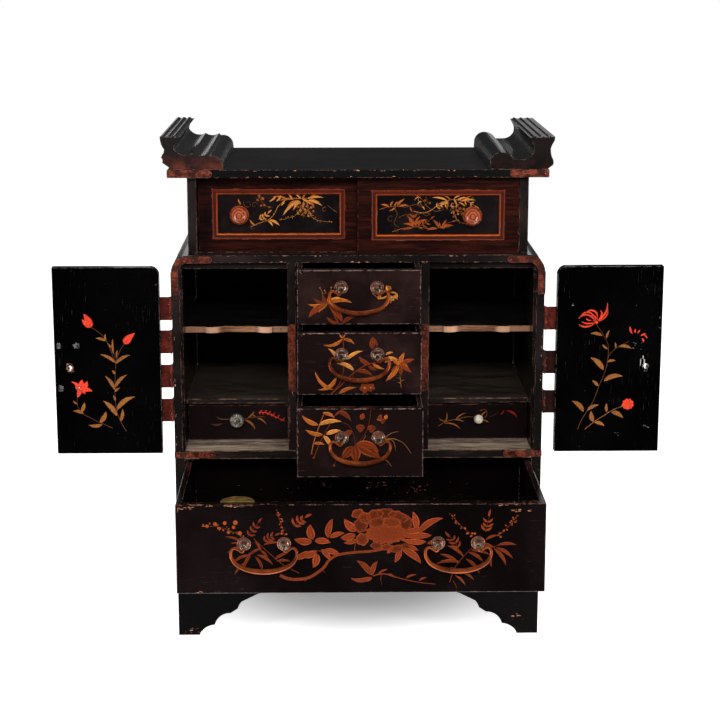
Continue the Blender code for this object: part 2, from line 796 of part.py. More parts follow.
def build_bail(name, drawer, x, z, half_spread, scale):
    """A bail and the two posts that it hangs from, on a drawer's front."""
    pivot = Vector((x, -GAP - RING_OUT, z - RING_DROP - RING_R))
    axis = axis_empty(f"{name}_axis", drawer, pivot)
    curve = bpy.data.curves.new(name, "CURVE")
    curve.dimensions = "3D"
    curve.bevel_depth = 1.0
    curve.bevel_resolution = 2
    curve.use_fill_caps = True
    path = bail_path(half_spread, scale)
    spline = curve.splines.new("POLY")
    spline.points.add(len(path) - 1)
    for point, (px, py, pz, radius) in zip(spline.points, path):
        point.co = (px, py, pz, 1)
        point.radius = radius
    bail = mesh_of(bpy.data.objects.new(name, curve))
    bail.data.shade_smooth()
    place(bail, "bail_copper", axis)

    rosette = [
        (0.0, RING_OUT), (0.0010, RING_OUT), (0.0016, 0.0040), (0.0018, 0.0022),
        (0.0052, 0.0014), (ROSETTE_R, 0.0007), (ROSETTE_R, 0.0), (0.0, 0.0),
    ]
    for side, label in ((-1, "left"), (1, "right")):
        post_x = x + side * half_spread
        post = turned(f"{name}_post_{label}", rosette, 16, "copper", drawer, (post_x, -GAP, z))
        ring = torus_object(f"{name}_ring_{label}", RING_R, RING_WIRE, 14, 6)
        join(post, file_cutter(
            ring, drawer, (post_x, -GAP - RING_OUT, z - RING_DROP), TURN["front"]))


def build_centre_drawers(root):
    for label, (low, high, pull) in CENTRE_DRAWERS.items():
        drawer = axis_empty(f"drawer_{label}_slide", root, (0, -pull, 0))
        drawer_box(f"drawer_{label}", DRAWER_HALF, low, high, DRAWER_DEPTH, 0.0060, drawer)
        middle = (low + high) / 2
        post_z = middle + {"upper": 0.0120, "middle": 0.0115, "lower": 0.0065}[label]
        build_bail(f"bail_{label}", drawer, 0, post_z, 0.0212, 1.0)


def build_bottom_drawer(root):
    drawer = axis_empty("drawer_bottom_slide", root, (0, -BOTTOM_PULL, 0))
    drawer_box("drawer_bottom", BOTTOM_HALF, BOTTOM_LOW, BOTTOM_HIGH, BOTTOM_DEPTH, 0.0070, drawer)
    for side, label in ((-1, "left"), (1, "right")):
        build_bail(f"bail_bottom_{label}", drawer, side * BOTTOM_BAIL_X, 0.1800, 0.0228, 1.07)
    half_long = 0.0192
    reach = 0.0200
    ellipse = [(half_long * cos(pi * k / 14), reach * sin(pi * k / 14)) for k in range(15)]
    catch = [(x - 0.1404, 0.0090 + y) for x, y in ellipse]
    low = BOTTOM_HIGH + GAP
    plate("drawer_catch_plate", catch, low, low + 0.0010, "plan", "brass", drawer)


def build_inner_drawers(root):
    near = DIVIDER_OUT + 0.0012
    far = HALF_WIDTH - SIDE_T - 0.0015
    middle = (near + far) / 2
    half = (far - near) / 2
    depth = DEPTH - BACK_T - INNER_FRONT - 0.0080
    knobs = {
        "left": ("silver", [
            (0.0, 0.0135), (0.0030, 0.0132), (0.0042, 0.0118), (0.0085, 0.0105),
            (0.0092, 0.0090), (0.0080, 0.0076), (0.0034, 0.0064), (0.0026, 0.0030),
            (0.0044, 0.0012), (0.0044, 0.0), (0.0, 0.0),
        ]),
        "right": ("ivory", [
            (0.0, 0.0120), (0.0028, 0.0114), (0.0050, 0.0094), (0.0058, 0.0068),
            (0.0048, 0.0044), (0.0026, 0.0030), (0.0022, 0.0014), (0.0034, 0.0006),
            (0.0034, 0.0), (0.0, 0.0),
        ]),
    }
    for side, label in ((-1, "left"), (1, "right")):
        drawer = axis_empty(f"inner_drawer_{label}_slide", root, (side * middle, INNER_FRONT, 0))
        drawer_box(f"inner_drawer_{label}", half, FLOOR_TOP + 0.0010, INNER_TOP, depth, 0.0050,
                   drawer)
        slot, profile = knobs[label]
        turned(f"inner_drawer_knob_{label}", profile, 16, slot, drawer,
               (side * 0.0015, -GAP, 0.2667))


clear_scene()
PARTS = new_collection("jewelry_armoire")
CUTTERS = new_collection("cutters")
cabinet = axis_empty("cabinet", None, (0, FRONT_Y, 0))
build_carcass(cabinet)
build_plinth(cabinet)
build_bays(cabinet)
build_upper_case(cabinet)
build_sliding_doors(cabinet)
build_hinged_doors(cabinet)
build_centre_drawers(cabinet)
build_bottom_drawer(cabinet)
build_inner_drawers(cabinet)
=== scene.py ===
"""Black lacquered table cabinet with drawers, hinged doors and sliding doors: its looks."""
import math
import random

import bmesh
import bpy
from mathutils import Matrix, Vector


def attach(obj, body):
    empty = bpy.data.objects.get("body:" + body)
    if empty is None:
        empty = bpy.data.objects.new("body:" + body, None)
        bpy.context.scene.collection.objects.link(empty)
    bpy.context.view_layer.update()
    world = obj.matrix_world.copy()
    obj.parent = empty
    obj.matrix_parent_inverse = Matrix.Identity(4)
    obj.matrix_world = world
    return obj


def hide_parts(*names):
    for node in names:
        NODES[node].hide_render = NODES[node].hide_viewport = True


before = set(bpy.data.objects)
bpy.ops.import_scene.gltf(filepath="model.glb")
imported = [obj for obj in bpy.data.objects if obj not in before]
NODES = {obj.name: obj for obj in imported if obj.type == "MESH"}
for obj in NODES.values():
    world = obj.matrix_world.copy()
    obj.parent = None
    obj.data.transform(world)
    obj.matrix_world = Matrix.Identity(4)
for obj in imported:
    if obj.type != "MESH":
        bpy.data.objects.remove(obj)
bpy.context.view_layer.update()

FRONT_Y = -0.030625          # front plane of the carcass
HALF = 0.2250                # half the carcass's width
DEPTH = 0.2560
CARCASS_TOP = 0.4812
TOP_HALF = 0.2270            # half the top board's width
DOOR_IN = 0.2387             # an open door's near and far edges
DOOR_OUT = 0.3662
DOOR_FACE = -0.0140          # its two faces, behind the front plane
DOOR_BACK = -0.0020
BAY_Z = 0.2400               # the bay floor's top
SLIDE_FACE = {"left": 0.0288, "right": 0.0158}     # faces of the sliding doors
PANEL_SINK = 0.0036          # how deep their panels lie
PANEL_Z = 0.5035
DRAWER_HALF = 0.0732         # half widths of the centre drawers and the bottom drawer
BOTTOM_HALF = 0.2106
BOTTOM_Z = 0.1207            # the bottom drawer's underside
INNER_FACE = 0.0500          # the inner drawers' fronts
INNER_NEAR = 0.0869
INNER_FAR = 0.2115
CORNER_R = 0.0200
SIDE_Z = 0.1058              # the side panels' lower edge
GAP = 0.0003
MM = 0.001
X = Vector((1, 0, 0))
Y = Vector((0, 1, 0))
Z = Vector((0, 0, 1))
SIDES = ((-1, "left"), (1, "right"))


def linear(red, green, blue):
    """A colour given as 0 to 255 on screen, as scene-linear RGBA."""
    def channel(value):
        value /= 255
        return value / 12.92 if value <= 0.04045 else ((value + 0.055) / 1.055) ** 2.4
    return (channel(red), channel(green), channel(blue), 1.0)


# ---------------------------------------------------------------- materials

class Shade:
    """A material and short calls for its nodes; coordinates are the row frame's."""

    def __init__(self, name, roughness=0.3, metallic=0.0, specular=0.3, coat=0.0,
                 coat_roughness=0.08):
        self.material = bpy.data.materials.new(name)
        self.material.use_nodes = True
        self.tree = self.material.node_tree
        self.shader = self.tree.nodes["Principled BSDF"]
        self.put(self.shader.inputs["Roughness"], roughness)
        self.put(self.shader.inputs["Metallic"], metallic)
        self.put(self.shader.inputs["Specular IOR Level"], specular)
        self.put(self.shader.inputs["Coat Weight"], coat)
        self.put(self.shader.inputs["Coat Roughness"], coat_roughness)
        self.coordinates = self.node("TexCoord").outputs["Object"]
        self.normal = None

    def node(self, kind):
        return self.tree.nodes.new("ShaderNode" + kind)

    def put(self, socket, value):
        if isinstance(value, bpy.types.NodeSocket):
            self.tree.links.new(value, socket)
        else:
            socket.default_value = value

    def stretched(self, stretch):
        mapping = self.node("Mapping")
        self.put(mapping.inputs["Vector"], self.coordinates)
        mapping.inputs["Scale"].default_value = stretch
        return mapping.outputs["Vector"]

    def noise(self, scale, detail=4.0, rough=0.55, stretch=(1, 1, 1), twist=0.0):
        noise = self.node("TexNoise")
        self.put(noise.inputs["Vector"], self.stretched(stretch))
        self.put(noise.inputs["Scale"], scale)
        self.put(noise.inputs["Detail"], detail)
        self.put(noise.inputs["Roughness"], rough)
        self.put(noise.inputs["Distortion"], twist)
        return noise.outputs["Fac"]

    def cells(self, scale):
        """Distance to the edges of irregular cells."""
        cells = self.node("TexVoronoi")
        cells.feature = "DISTANCE_TO_EDGE"
        self.put(cells.inputs["Vector"], self.stretched((1, 1, 1)))
        self.put(cells.inputs["Scale"], scale)
        return cells.outputs["Distance"]

    def ramp(self, value, low, high):
        """0 below low, 1 above high, smooth between."""
        span = self.node("MapRange")
        span.interpolation_type = "SMOOTHSTEP"
        self.put(span.inputs["Value"], value)
        self.put(span.inputs["From Min"], low)
        self.put(span.inputs["From Max"], high)
        return span.outputs["Result"]

    def maths(self, operation, first, second):
        node = self.node("Math")
        node.operation = operation
        self.put(node.inputs[0], first)
        self.put(node.inputs[1], second)
        return node.outputs["Value"]

    def times(self, first, second):
        return self.maths("MULTIPLY", first, second)

    def scale(self, value, low, high):
        """value 0 to 1 becomes low to high."""
        span = self.node("MapRange")
        self.put(span.inputs["Value"], value)
        self.put(span.inputs["To Min"], low)
        self.put(span.inputs["To Max"], high)
        return span.outputs["Result"]

    def mix(self, factor, first, second):
        node = self.node("Mix")
        node.data_type = "RGBA"
        self.put(node.inputs["Factor"], factor)
        self.put(node.inputs["A"], first)
        self.put(node.inputs["B"], second)
        return node.outputs["Result"]

    def attribute(self, name):
        node = self.node("Attribute")
        node.attribute_name = name
        return node.outputs["Color"]

    def axis(self, name):
        split = self.node("SeparateXYZ")
        self.put(split.inputs[0], self.coordinates)
        return split.outputs[name]

    def facing(self, name):
        """A component of the surface's normal."""
        split = self.node("SeparateXYZ")
        self.put(split.inputs[0], self.node("NewGeometry").outputs["True Normal"])
        return split.outputs[name]

    def front_faces(self):
        """1 on the faces that look forwards."""
        return self.ramp(self.facing("Y"), -0.35, -0.7)

    def edges(self, radius):
        """1 on the arrises, fading to 0 at radius from them."""
        bevel = self.node("Bevel")
        bevel.samples = 4
        self.put(bevel.inputs["Radius"], radius)
        dot = self.node("VectorMath")
        dot.operation = "DOT_PRODUCT"
        self.put(dot.inputs[0], bevel.outputs["Normal"])
        self.put(dot.inputs[1], self.node("NewGeometry").outputs["True Normal"])
        return self.ramp(dot.outputs["Value"], 0.995, 0.90)

    def rubbed_edges(self, radius, scale, low, high):
        """1 in the broken patches where an arris is rubbed bare."""
        return self.times(self.edges(radius), self.ramp(self.noise(scale, 6, 0.7), low, high))

    def colour(self, value):
        self.put(self.shader.inputs["Base Color"], value)

    def rough(self, value):
        self.put(self.shader.inputs["Roughness"], value)

    def bump(self, height, distance, strength=1.0):
        bump = self.node("Bump")
        self.put(bump.inputs["Height"], height)
        self.put(bump.inputs["Distance"], distance)
        self.put(bump.inputs["Strength"], strength)
        if self.normal is not None:
            self.put(bump.inputs["Normal"], self.normal)
        self.normal = bump.outputs["Normal"]
        self.put(self.shader.inputs["Normal"], self.normal)


def lacquer(name, base, aged, under, wear, scratch_stretch=(1, 30, 30), scratches=0.35,
            gloss=0.2, specular=0.25, coat=0.05, clouds=7.0, front_shade=0.0):
    """Old urushi: deep gloss, cloudy brown ageing, fine scratches, arrises worn to brown and pale
    enough to also serve as a painted highlight along the edges; an optional painted shade darkens
    the faces that look forwards.
    """
    s = Shade(name, specular=specular, coat=coat)
    cloud = s.noise(clouds, 5, 0.6)
    grain = s.noise(60, 6, 0.65, (1, 6, 12))
    body = s.mix(s.ramp(cloud, 0.42, 0.72), base, aged)
    body = s.mix(s.times(s.ramp(grain, 0.55, 0.8), 0.35), body, aged)
    lines = s.ramp(s.noise(38, 3, 0.75, scratch_stretch), 0.64, 0.70)
    faint = s.times(lines, s.ramp(s.noise(16, 2), 0.45, 0.65))
    body = s.mix(s.times(faint, scratches * 0.5), body, linear(120, 104, 96))
    # painted shade: the faces that look forwards are darkened towards near black
    if front_shade:
        front = s.times(s.front_faces(), front_shade)
        body = s.mix(front, body, linear(4, 3, 3))
    # arrises rubbed through to the under colour: real wear that also stands in for the bright edge
    # lines, a painted highlight
    edge = s.edges(0.0009)
    broken = s.noise(150, 7, 0.7)
    rubbed = s.times(edge, s.ramp(broken, 0.60 - 0.12 * wear, 0.70 - 0.12 * wear))
    body = s.mix(rubbed, body, under)
    chip = s.times(s.ramp(s.noise(420, 3, 0.6), 0.73, 0.76), s.ramp(cloud, 0.5, 0.62))
    body = s.mix(s.times(chip, 0.6 * wear), body, linear(150, 100, 76))
    s.colour(body)
    rough = s.scale(s.noise(24, 6, 0.7), gloss * 0.75, gloss * 1.5)
    rough = s.maths("ADD", rough, s.times(faint, 0.18))
    rough = s.maths("ADD", rough, s.times(rubbed, 0.12))
    s.rough(rough)
    s.bump(s.noise(26, 3, 0.5), 0.00025, 0.35)
    s.bump(s.maths("SUBTRACT", s.noise(300, 4, 0.6), s.times(rubbed, 0.6)), 0.00005, 0.5)
    return s.material


def scroll_lacquer(name, face_low, face_high, specular=0.5):
    """Scroll end: brown worn lacquer on the front, glossy black over the scrolls."""
    s = Shade(name, specular=specular, coat=specular * 0.4)
    cloud = s.noise(34, 6, 0.65)
    fine = s.noise(150, 7, 0.7, (0.6, 1, 3))
    face = s.mix(s.ramp(cloud, 0.36, 0.64), face_low, face_high)
    face = s.mix(s.times(s.ramp(fine, 0.56, 0.72), 0.5), face, linear(24, 14, 13))
    low = s.ramp(s.axis("Z"), 0.6060, 0.5850)
    face = s.mix(low, linear(22, 16, 16), face)
    over = s.mix(s.ramp(cloud, 0.45, 0.7), linear(8, 8, 9), linear(26, 25, 27))
    body = s.mix(s.front_faces(), over, face)
    body = s.mix(s.rubbed_edges(0.0010, 170, 0.44, 0.60), body, linear(138, 112, 100))
    s.colour(body)
    s.rough(s.scale(fine, 0.20, 0.38))
    s.bump(s.noise(40, 4, 0.55), 0.0003, 0.4)
    s.bump(fine, 0.00006, 0.5)
    return s.material


def frame_lacquer(name, across, upright, face):
    """Dark red-brown grained frame with a black panel sunk in it."""
    s = Shade(name, specular=0.14)
    grain = s.noise(26, 9, 0.68, (0.7, 6, 9), 0.6)
    fine = s.noise(95, 6, 0.7, (0.5, 8, 9))
    wood = s.mix(s.ramp(grain, 0.40, 0.68), linear(18, 6, 5), linear(50, 17, 10))
    wood = s.mix(s.ramp(fine, 0.60, 0.74), wood, linear(78, 34, 17))
    wood = s.mix(s.ramp(s.noise(8, 4, 0.6), 0.50, 0.72), wood, linear(12, 5, 6))
    wood = s.mix(s.rubbed_edges(0.0012, 130, 0.5, 0.62), wood, linear(150, 84, 58))
    x = s.axis("X")
    z = s.axis("Z")
    inside = s.maths("GREATER_THAN", s.axis("Y"), face)
    for value, (low, high) in ((x, across), (z, upright)):
        inside = s.times(inside, s.maths("GREATER_THAN", value, low))
        inside = s.times(inside, s.maths("LESS_THAN", value, high))
    black = s.mix(s.ramp(s.noise(12, 5, 0.6), 0.45, 0.7), linear(11, 8, 9), linear(30, 21, 22))
    s.colour(s.mix(inside, wood, black))
    s.rough(s.scale(s.maths("ADD", s.times(grain, 0.5), s.times(inside, -0.3)),
                    0.22, 0.5))
    s.bump(s.times(fine, s.maths("SUBTRACT", 1.0, inside)), 0.00012, 0.5)
    s.bump(s.noise(26, 3, 0.5), 0.0002, 0.3)
    return s.material


def copper_sheet(name, bright, dark, stain, rim=None, gloss=0.3):
    """Engraved copper under a brown patina, rubbed bright in patches; a rim colour adds a darker
    band along the arrises and a pale line on them, partly rubbed copper and partly painted
    highlight.
    """
    s = Shade(name, metallic=0.45, specular=0.4)
    cloud = s.noise(110, 6, 0.7)
    fine = s.noise(360, 6, 0.72)
    body = s.mix(s.ramp(cloud, 0.42, 0.62), dark, bright)
    body = s.mix(s.ramp(fine, 0.50, 0.70), body, stain)
    scroll = s.cells(420)
    groove = s.ramp(scroll, 0.14, 0.03)
    body = s.mix(s.times(groove, 0.45), body, stain)
    s.bump(groove, 0.00012, -0.5)
    if rim is not None:
        # darker band along every arris, then a broken pale line on the arris itself: partly rubbed
        # copper, partly painted highlight
        body = s.mix(s.edges(0.0011), body, stain)
        body = s.mix(s.times(s.edges(0.0004), s.ramp(cloud, 0.32, 0.50)), body, rim)
    s.colour(body)
    s.rough(s.scale(fine, gloss * 0.8, gloss * 1.8))
    s.bump(fine, 0.00006, 0.5)
    return s.material


def bar_lacquer(name):
    """Red-brown lacquered moulding: each step's colour, streaked along its length, with painted
    light set by which way a face turns.
    """
    s = Shade(name, roughness=0.2, specular=0.35, coat=0.1, coat_roughness=0.1)
    # the step colours hold painted highlight on the crests and painted shade in the coves
    own = s.attribute("paint")
    streak = s.noise(90, 6, 0.7, (1, 4, 4))
    body = s.mix(s.times(s.ramp(streak, 0.46, 0.68), 0.6), own, linear(34, 12, 9))
    # painted light by facing: faces that turn sideways are pulled to a dim red and faces that turn
    # down to a dull red (painted shade), so the brightest bead colour stays where faces turn up or
    # forwards
    across = s.facing("X")
    body = s.mix(s.times(s.ramp(s.times(across, across), 0.06, 0.25), 0.7),
                 body, linear(88, 36, 26))
    body = s.mix(s.times(s.ramp(s.facing("Z"), -0.15, -0.40), 0.6), body,
                 linear(104, 34, 18))
    s.colour(body)
    s.rough(s.scale(streak, 0.14, 0.34))
    s.bump(s.noise(300, 4, 0.6), 0.00004, 0.5)
    return s.material


def metal(name, bright, dark, rough, scale=60.0, metallic=0.9, edge_wear_and_sheen=None):
    """Handled metal: polished on the high spots, darker where hands don't reach; an optional pale
    edge colour lightens the arrises, partly rubbed metal and partly painted highlight.
    """
    s = Shade(name, metallic=metallic, specular=0.5)
    cloud = s.noise(scale, 6, 0.6)
    fine = s.noise(scale * 7, 5, 0.65)
    body = s.mix(s.ramp(cloud, 0.36, 0.64), dark, bright)
    body = s.mix(s.times(s.ramp(fine, 0.58, 0.72), 0.45), body, dark)
    # the arrises are lightened: partly rubbed metal, partly painted highlight
    if edge_wear_and_sheen is not None:
        body = s.mix(s.times(s.edges(0.0005), 0.7), body, edge_wear_and_sheen)
    s.colour(body)
    s.rough(s.scale(s.maths("ADD", s.times(cloud, 0.5), s.times(fine, 0.5)),
                    rough * 0.6, rough * 1.6))
    s.bump(fine, 0.00004, 0.5)
    return s.material


def turned_wood(name, centre):
    """Polished red-brown wood with rings round the turning axis."""
    s = Shade(name, specular=0.5, coat=1.0, coat_roughness=0.05)
    mapping = s.node("Mapping")
    s.put(mapping.inputs["Vector"], s.coordinates)
    mapping.inputs["Location"].default_value = [-value for value in centre]
    wave = s.node("TexWave")
    wave.wave_type = "RINGS"
    wave.rings_direction = "Y"
    s.put(wave.inputs["Vector"], mapping.outputs["Vector"])
    s.put(wave.inputs["Scale"], 95.0)
    s.put(wave.inputs["Distortion"], 3.5)
    s.put(wave.inputs["Detail"], 4.0)
    s.put(wave.inputs["Detail Scale"], 3.0)
    rings = wave.outputs["Fac"]
    fibre = s.noise(420, 5, 0.7, (1, 0.3, 1))
    body = s.mix(rings, linear(92, 32, 17), linear(160, 78, 42))
    body = s.mix(s.ramp(fibre, 0.55, 0.72), body, linear(88, 30, 18))
    s.colour(body)
    s.rough(s.scale(fibre, 0.16, 0.34))
    s.bump(rings, 0.00004, 0.5)
    return s.material


def painted(name, metallic, rough):
    """Raised lacquer painting: each stroke's own colour, rubbed thin in places."""
    s = Shade(name, metallic=metallic, specular=0.12)
    own = s.attribute("paint")
    dust = s.noise(640, 5, 0.75)
    cloud = s.noise(70, 6, 0.7)
    body = s.mix(s.times(s.ramp(dust, 0.47, 0.63), 0.62), own, linear(46, 19, 11))
    body = s.mix(s.times(s.ramp(cloud, 0.56, 0.70), 0.55), body, linear(40, 17, 12))
    s.colour(body)
    s.rough(s.scale(dust, rough * 0.8, rough * 1.3))
    s.bump(dust, 0.00004, 0.5)
    return s.material


def bare_shelf(name):
    """Black board whose front edge is bare wood, with a painted highlight on its most forward
    lobes.
    """
    s = Shade(name, specular=0.3)
    fibre = s.noise(70, 8, 0.7, (0.5, 4, 14))
    wood = s.mix(s.ramp(fibre, 0.40, 0.65), linear(80, 50, 36), linear(150, 104, 74))
    # painted highlight: the most forward part of the edge is made paler
    lobe_highlight = s.ramp(s.axis("Y"), FRONT_Y + 0.0462, FRONT_Y + 0.0425)
    wood = s.mix(lobe_highlight, wood, linear(188, 142, 112))
    wood = s.mix(s.ramp(s.noise(180, 6, 0.7), 0.60, 0.68), wood, linear(48, 30, 24))
    front = s.ramp(s.facing("Y"), -0.25, -0.6)
    black = s.mix(s.ramp(s.noise(16, 6, 0.7, (1, 5, 1)), 0.5, 0.7), linear(12, 10, 10),
                  linear(46, 40, 38))
    s.colour(s.mix(front, black, wood))
    s.rough(s.scale(fibre, 0.35, 0.62))
    s.bump(fibre, 0.00012, 0.6)
    return s.material


def scratched_floor(name, worn=1.0):
    """Black board scrubbed to grey-brown streaks where things were pushed in and out."""
    s = Shade(name, specular=0.3)
    streak = s.noise(14, 9, 0.78, (1, 7, 7), 0.4)
    line = s.noise(30, 6, 0.8, (1, 26, 26))
    body = s.mix(s.times(s.ramp(streak, 0.42, 0.61), worn), linear(22, 18, 17),
                 linear(170, 148, 127))
    body = s.mix(s.times(s.ramp(line, 0.52, 0.60), worn), body,
                 linear(208, 186, 160))
    body = s.mix(s.front_faces(), body,
                 s.mix(s.ramp(streak, 0.50, 0.66), linear(14, 11, 11), linear(48, 34, 30)))
    body = s.mix(s.rubbed_edges(0.0015, 120, 0.45, 0.58), body, linear(178, 132, 104))
    s.colour(body)
    s.rough(s.scale(streak, 0.34, 0.6))
    s.bump(line, 0.00012, 0.6)
    return s.material


BLACK = linear(12, 9, 9)
M = {
    "carcass": lacquer("urushi_carcass", BLACK, linear(36, 28, 27), linear(134, 98, 84), 1.0),
    "inside": lacquer("urushi_inside", linear(4, 3, 3), linear(11, 9, 9), linear(88, 52, 40),
                      0.7, gloss=0.34, specular=0.08, coat=0.0),
    # the drawers' pale under colour and high wear draw bright arris lines: partly wear, partly
    # painted highlight
    "drawer": lacquer("urushi_drawer", linear(18, 9, 9), linear(38, 24, 22),
                      linear(158, 136, 128), 1.25, gloss=0.16, clouds=12.0, specular=0.22),
    "bottom": lacquer("urushi_bottom_drawer", linear(6, 3, 3), linear(17, 10, 10),
                      linear(140, 104, 90), 1.0, gloss=0.18, clouds=8.0, specular=0.15),
    "inner": lacquer("urushi_inner_drawer", linear(15, 9, 9), linear(28, 18, 18),
                     linear(150, 96, 72), 1.0, gloss=0.3, specular=0.07, coat=0.0),
    "door": lacquer("urushi_door", linear(1, 1, 1), linear(4, 4, 5), linear(116, 110, 108), 1.5,
                    (30, 30, 1), gloss=0.14, specular=0.04, coat=0.0),
    # the top board's forward faces get painted shade
    "top": lacquer("urushi_top", linear(10, 8, 9), linear(27, 23, 24), linear(128, 96, 78),
                   1.1, gloss=0.28, specular=0.3, scratches=0.6, coat=0.0, front_shade=0.9),
    "plinth": lacquer("urushi_plinth", linear(3, 2, 2), linear(8, 5, 5),
                      linear(118, 62, 48), 1.1, gloss=0.24, specular=0.03, coat=0.0),
    "scroll_brown": scroll_lacquer("urushi_scroll_left", linear(30, 14, 12), linear(84, 38, 27)),
    "scroll_black": scroll_lacquer("urushi_scroll_right", linear(6, 5, 5), linear(32, 19, 16),
                                   0.18),
    "floor": scratched_floor("scrubbed_floor"),
    "lid": scratched_floor("scrubbed_lid", 0.10),
    "shelf": bare_shelf("bare_shelf"),
    "copper": copper_sheet("engraved_copper", linear(158, 72, 48), linear(62, 28, 23),
                           linear(28, 15, 14), linear(196, 124, 98)),
    "strap": copper_sheet("red_strap", linear(132, 52, 38), linear(84, 32, 25),
                          linear(46, 18, 15), gloss=0.26),
    "strap_dark": copper_sheet("dark_strap", linear(64, 32, 27), linear(42, 20, 17),
                               linear(28, 14, 13), gloss=0.26),
    "knuckle": copper_sheet("bright_knuckle", linear(150, 50, 32), linear(88, 28, 20),
                            linear(46, 16, 14)),
    "bail": metal("bail_copper", linear(174, 86, 40), linear(104, 46, 23), 0.15, 30.0,
                  metallic=0.7),
    "rosette": metal("rosette_copper", linear(150, 78, 58), linear(62, 32, 28), 0.26, 160.0,
                     metallic=0.8, edge_wear_and_sheen=linear(214, 176, 156)),
    "eye": metal("eye_brass", linear(196, 190, 168), linear(96, 88, 70), 0.24, 200.0),
    "silver": metal("cast_silver", linear(206, 200, 190), linear(96, 90, 84), 0.34, 190.0,
                    edge_wear_and_sheen=linear(240, 236, 228)),
    "ivory": metal("bone", linear(214, 206, 188), linear(168, 156, 136), 0.38, 120.0,
                   metallic=0.0),
    "brass": metal("old_brass", linear(180, 144, 78), linear(104, 80, 40), 0.4, 90.0,
                   metallic=0.7, edge_wear_and_sheen=linear(206, 186, 120)),
    "nail": metal("nail_heads", linear(190, 120, 90), linear(70, 36, 28), 0.35, 300.0),
    "iron": metal("dark_nails", linear(120, 116, 114), linear(30, 28, 28), 0.4, 260.0,
                  metallic=0.6),
    "gold": painted("gold_painting", 0.15, 0.42),
    "red": painted("red_painting", 0.0, 0.45),
    "moulding": bar_lacquer("moulding_lacquer"),
    "flake": painted("bare_wood_chips", 0.0, 0.7),
}


# ---------------------------------------------------------------- shapes

def spline(points, per_span):
    """A smooth line through the points, which are tuples of any length."""
    out = []
    last = len(points) - 1
    for index in range(last):
        p0 = points[max(index - 1, 0)]
        p1 = points[index]
        p2 = points[index + 1]
        p3 = points[min(index + 2, last)]
        for step in range(per_span):
            t = step / per_span
            out.append(tuple(
                0.5 * (2 * b + (c - a) * t + (2 * a - 5 * b + 4 * c - d) * t * t
                       + (3 * b - a - 3 * c + d) * t ** 3)
                for a, b, c, d in zip(p0, p1, p2, p3)
            ))
    out.append(tuple(points[last]))
    return out


def inset(outline, distance):
    """The outline moved inwards by distance, with mitred corners; it runs anticlockwise."""
    out = []
    count = len(outline)
    for index in range(count):
        a = Vector(outline[index - 1])
        b = Vector(outline[index])
        c = Vector(outline[(index + 1) % count])
        first = (b - a).normalized()
        second = (c - b).normalized()
        mitre = Vector((-first.y - second.y, first.x + second.x))
        out.append(tuple(b + mitre * (2 * distance / max(0.8, mitre.dot(mitre)))))
    return out


def anticlockwise(outline):
    area = sum(a[0] * b[1] - b[0] * a[1] for a, b in zip(outline, outline[1:] + outline[:1]))
    return outline if area > 0 else outline[::-1]


def turns(count, span=2 * math.pi, closed=False):
    """Angles at equal steps over a span of turn; closed adds the span's end."""
    return [span * k / count for k in range(count + closed)]


def weight_normals(piece):
    weighted = piece.modifiers.new("weighted", "WEIGHTED_NORMAL")
    weighted.keep_sharp = True


def scaled(colour, tone):
    """A colour made lighter or darker."""
    return tuple(channel * tone for channel in colour[:3]) + (1.0,)


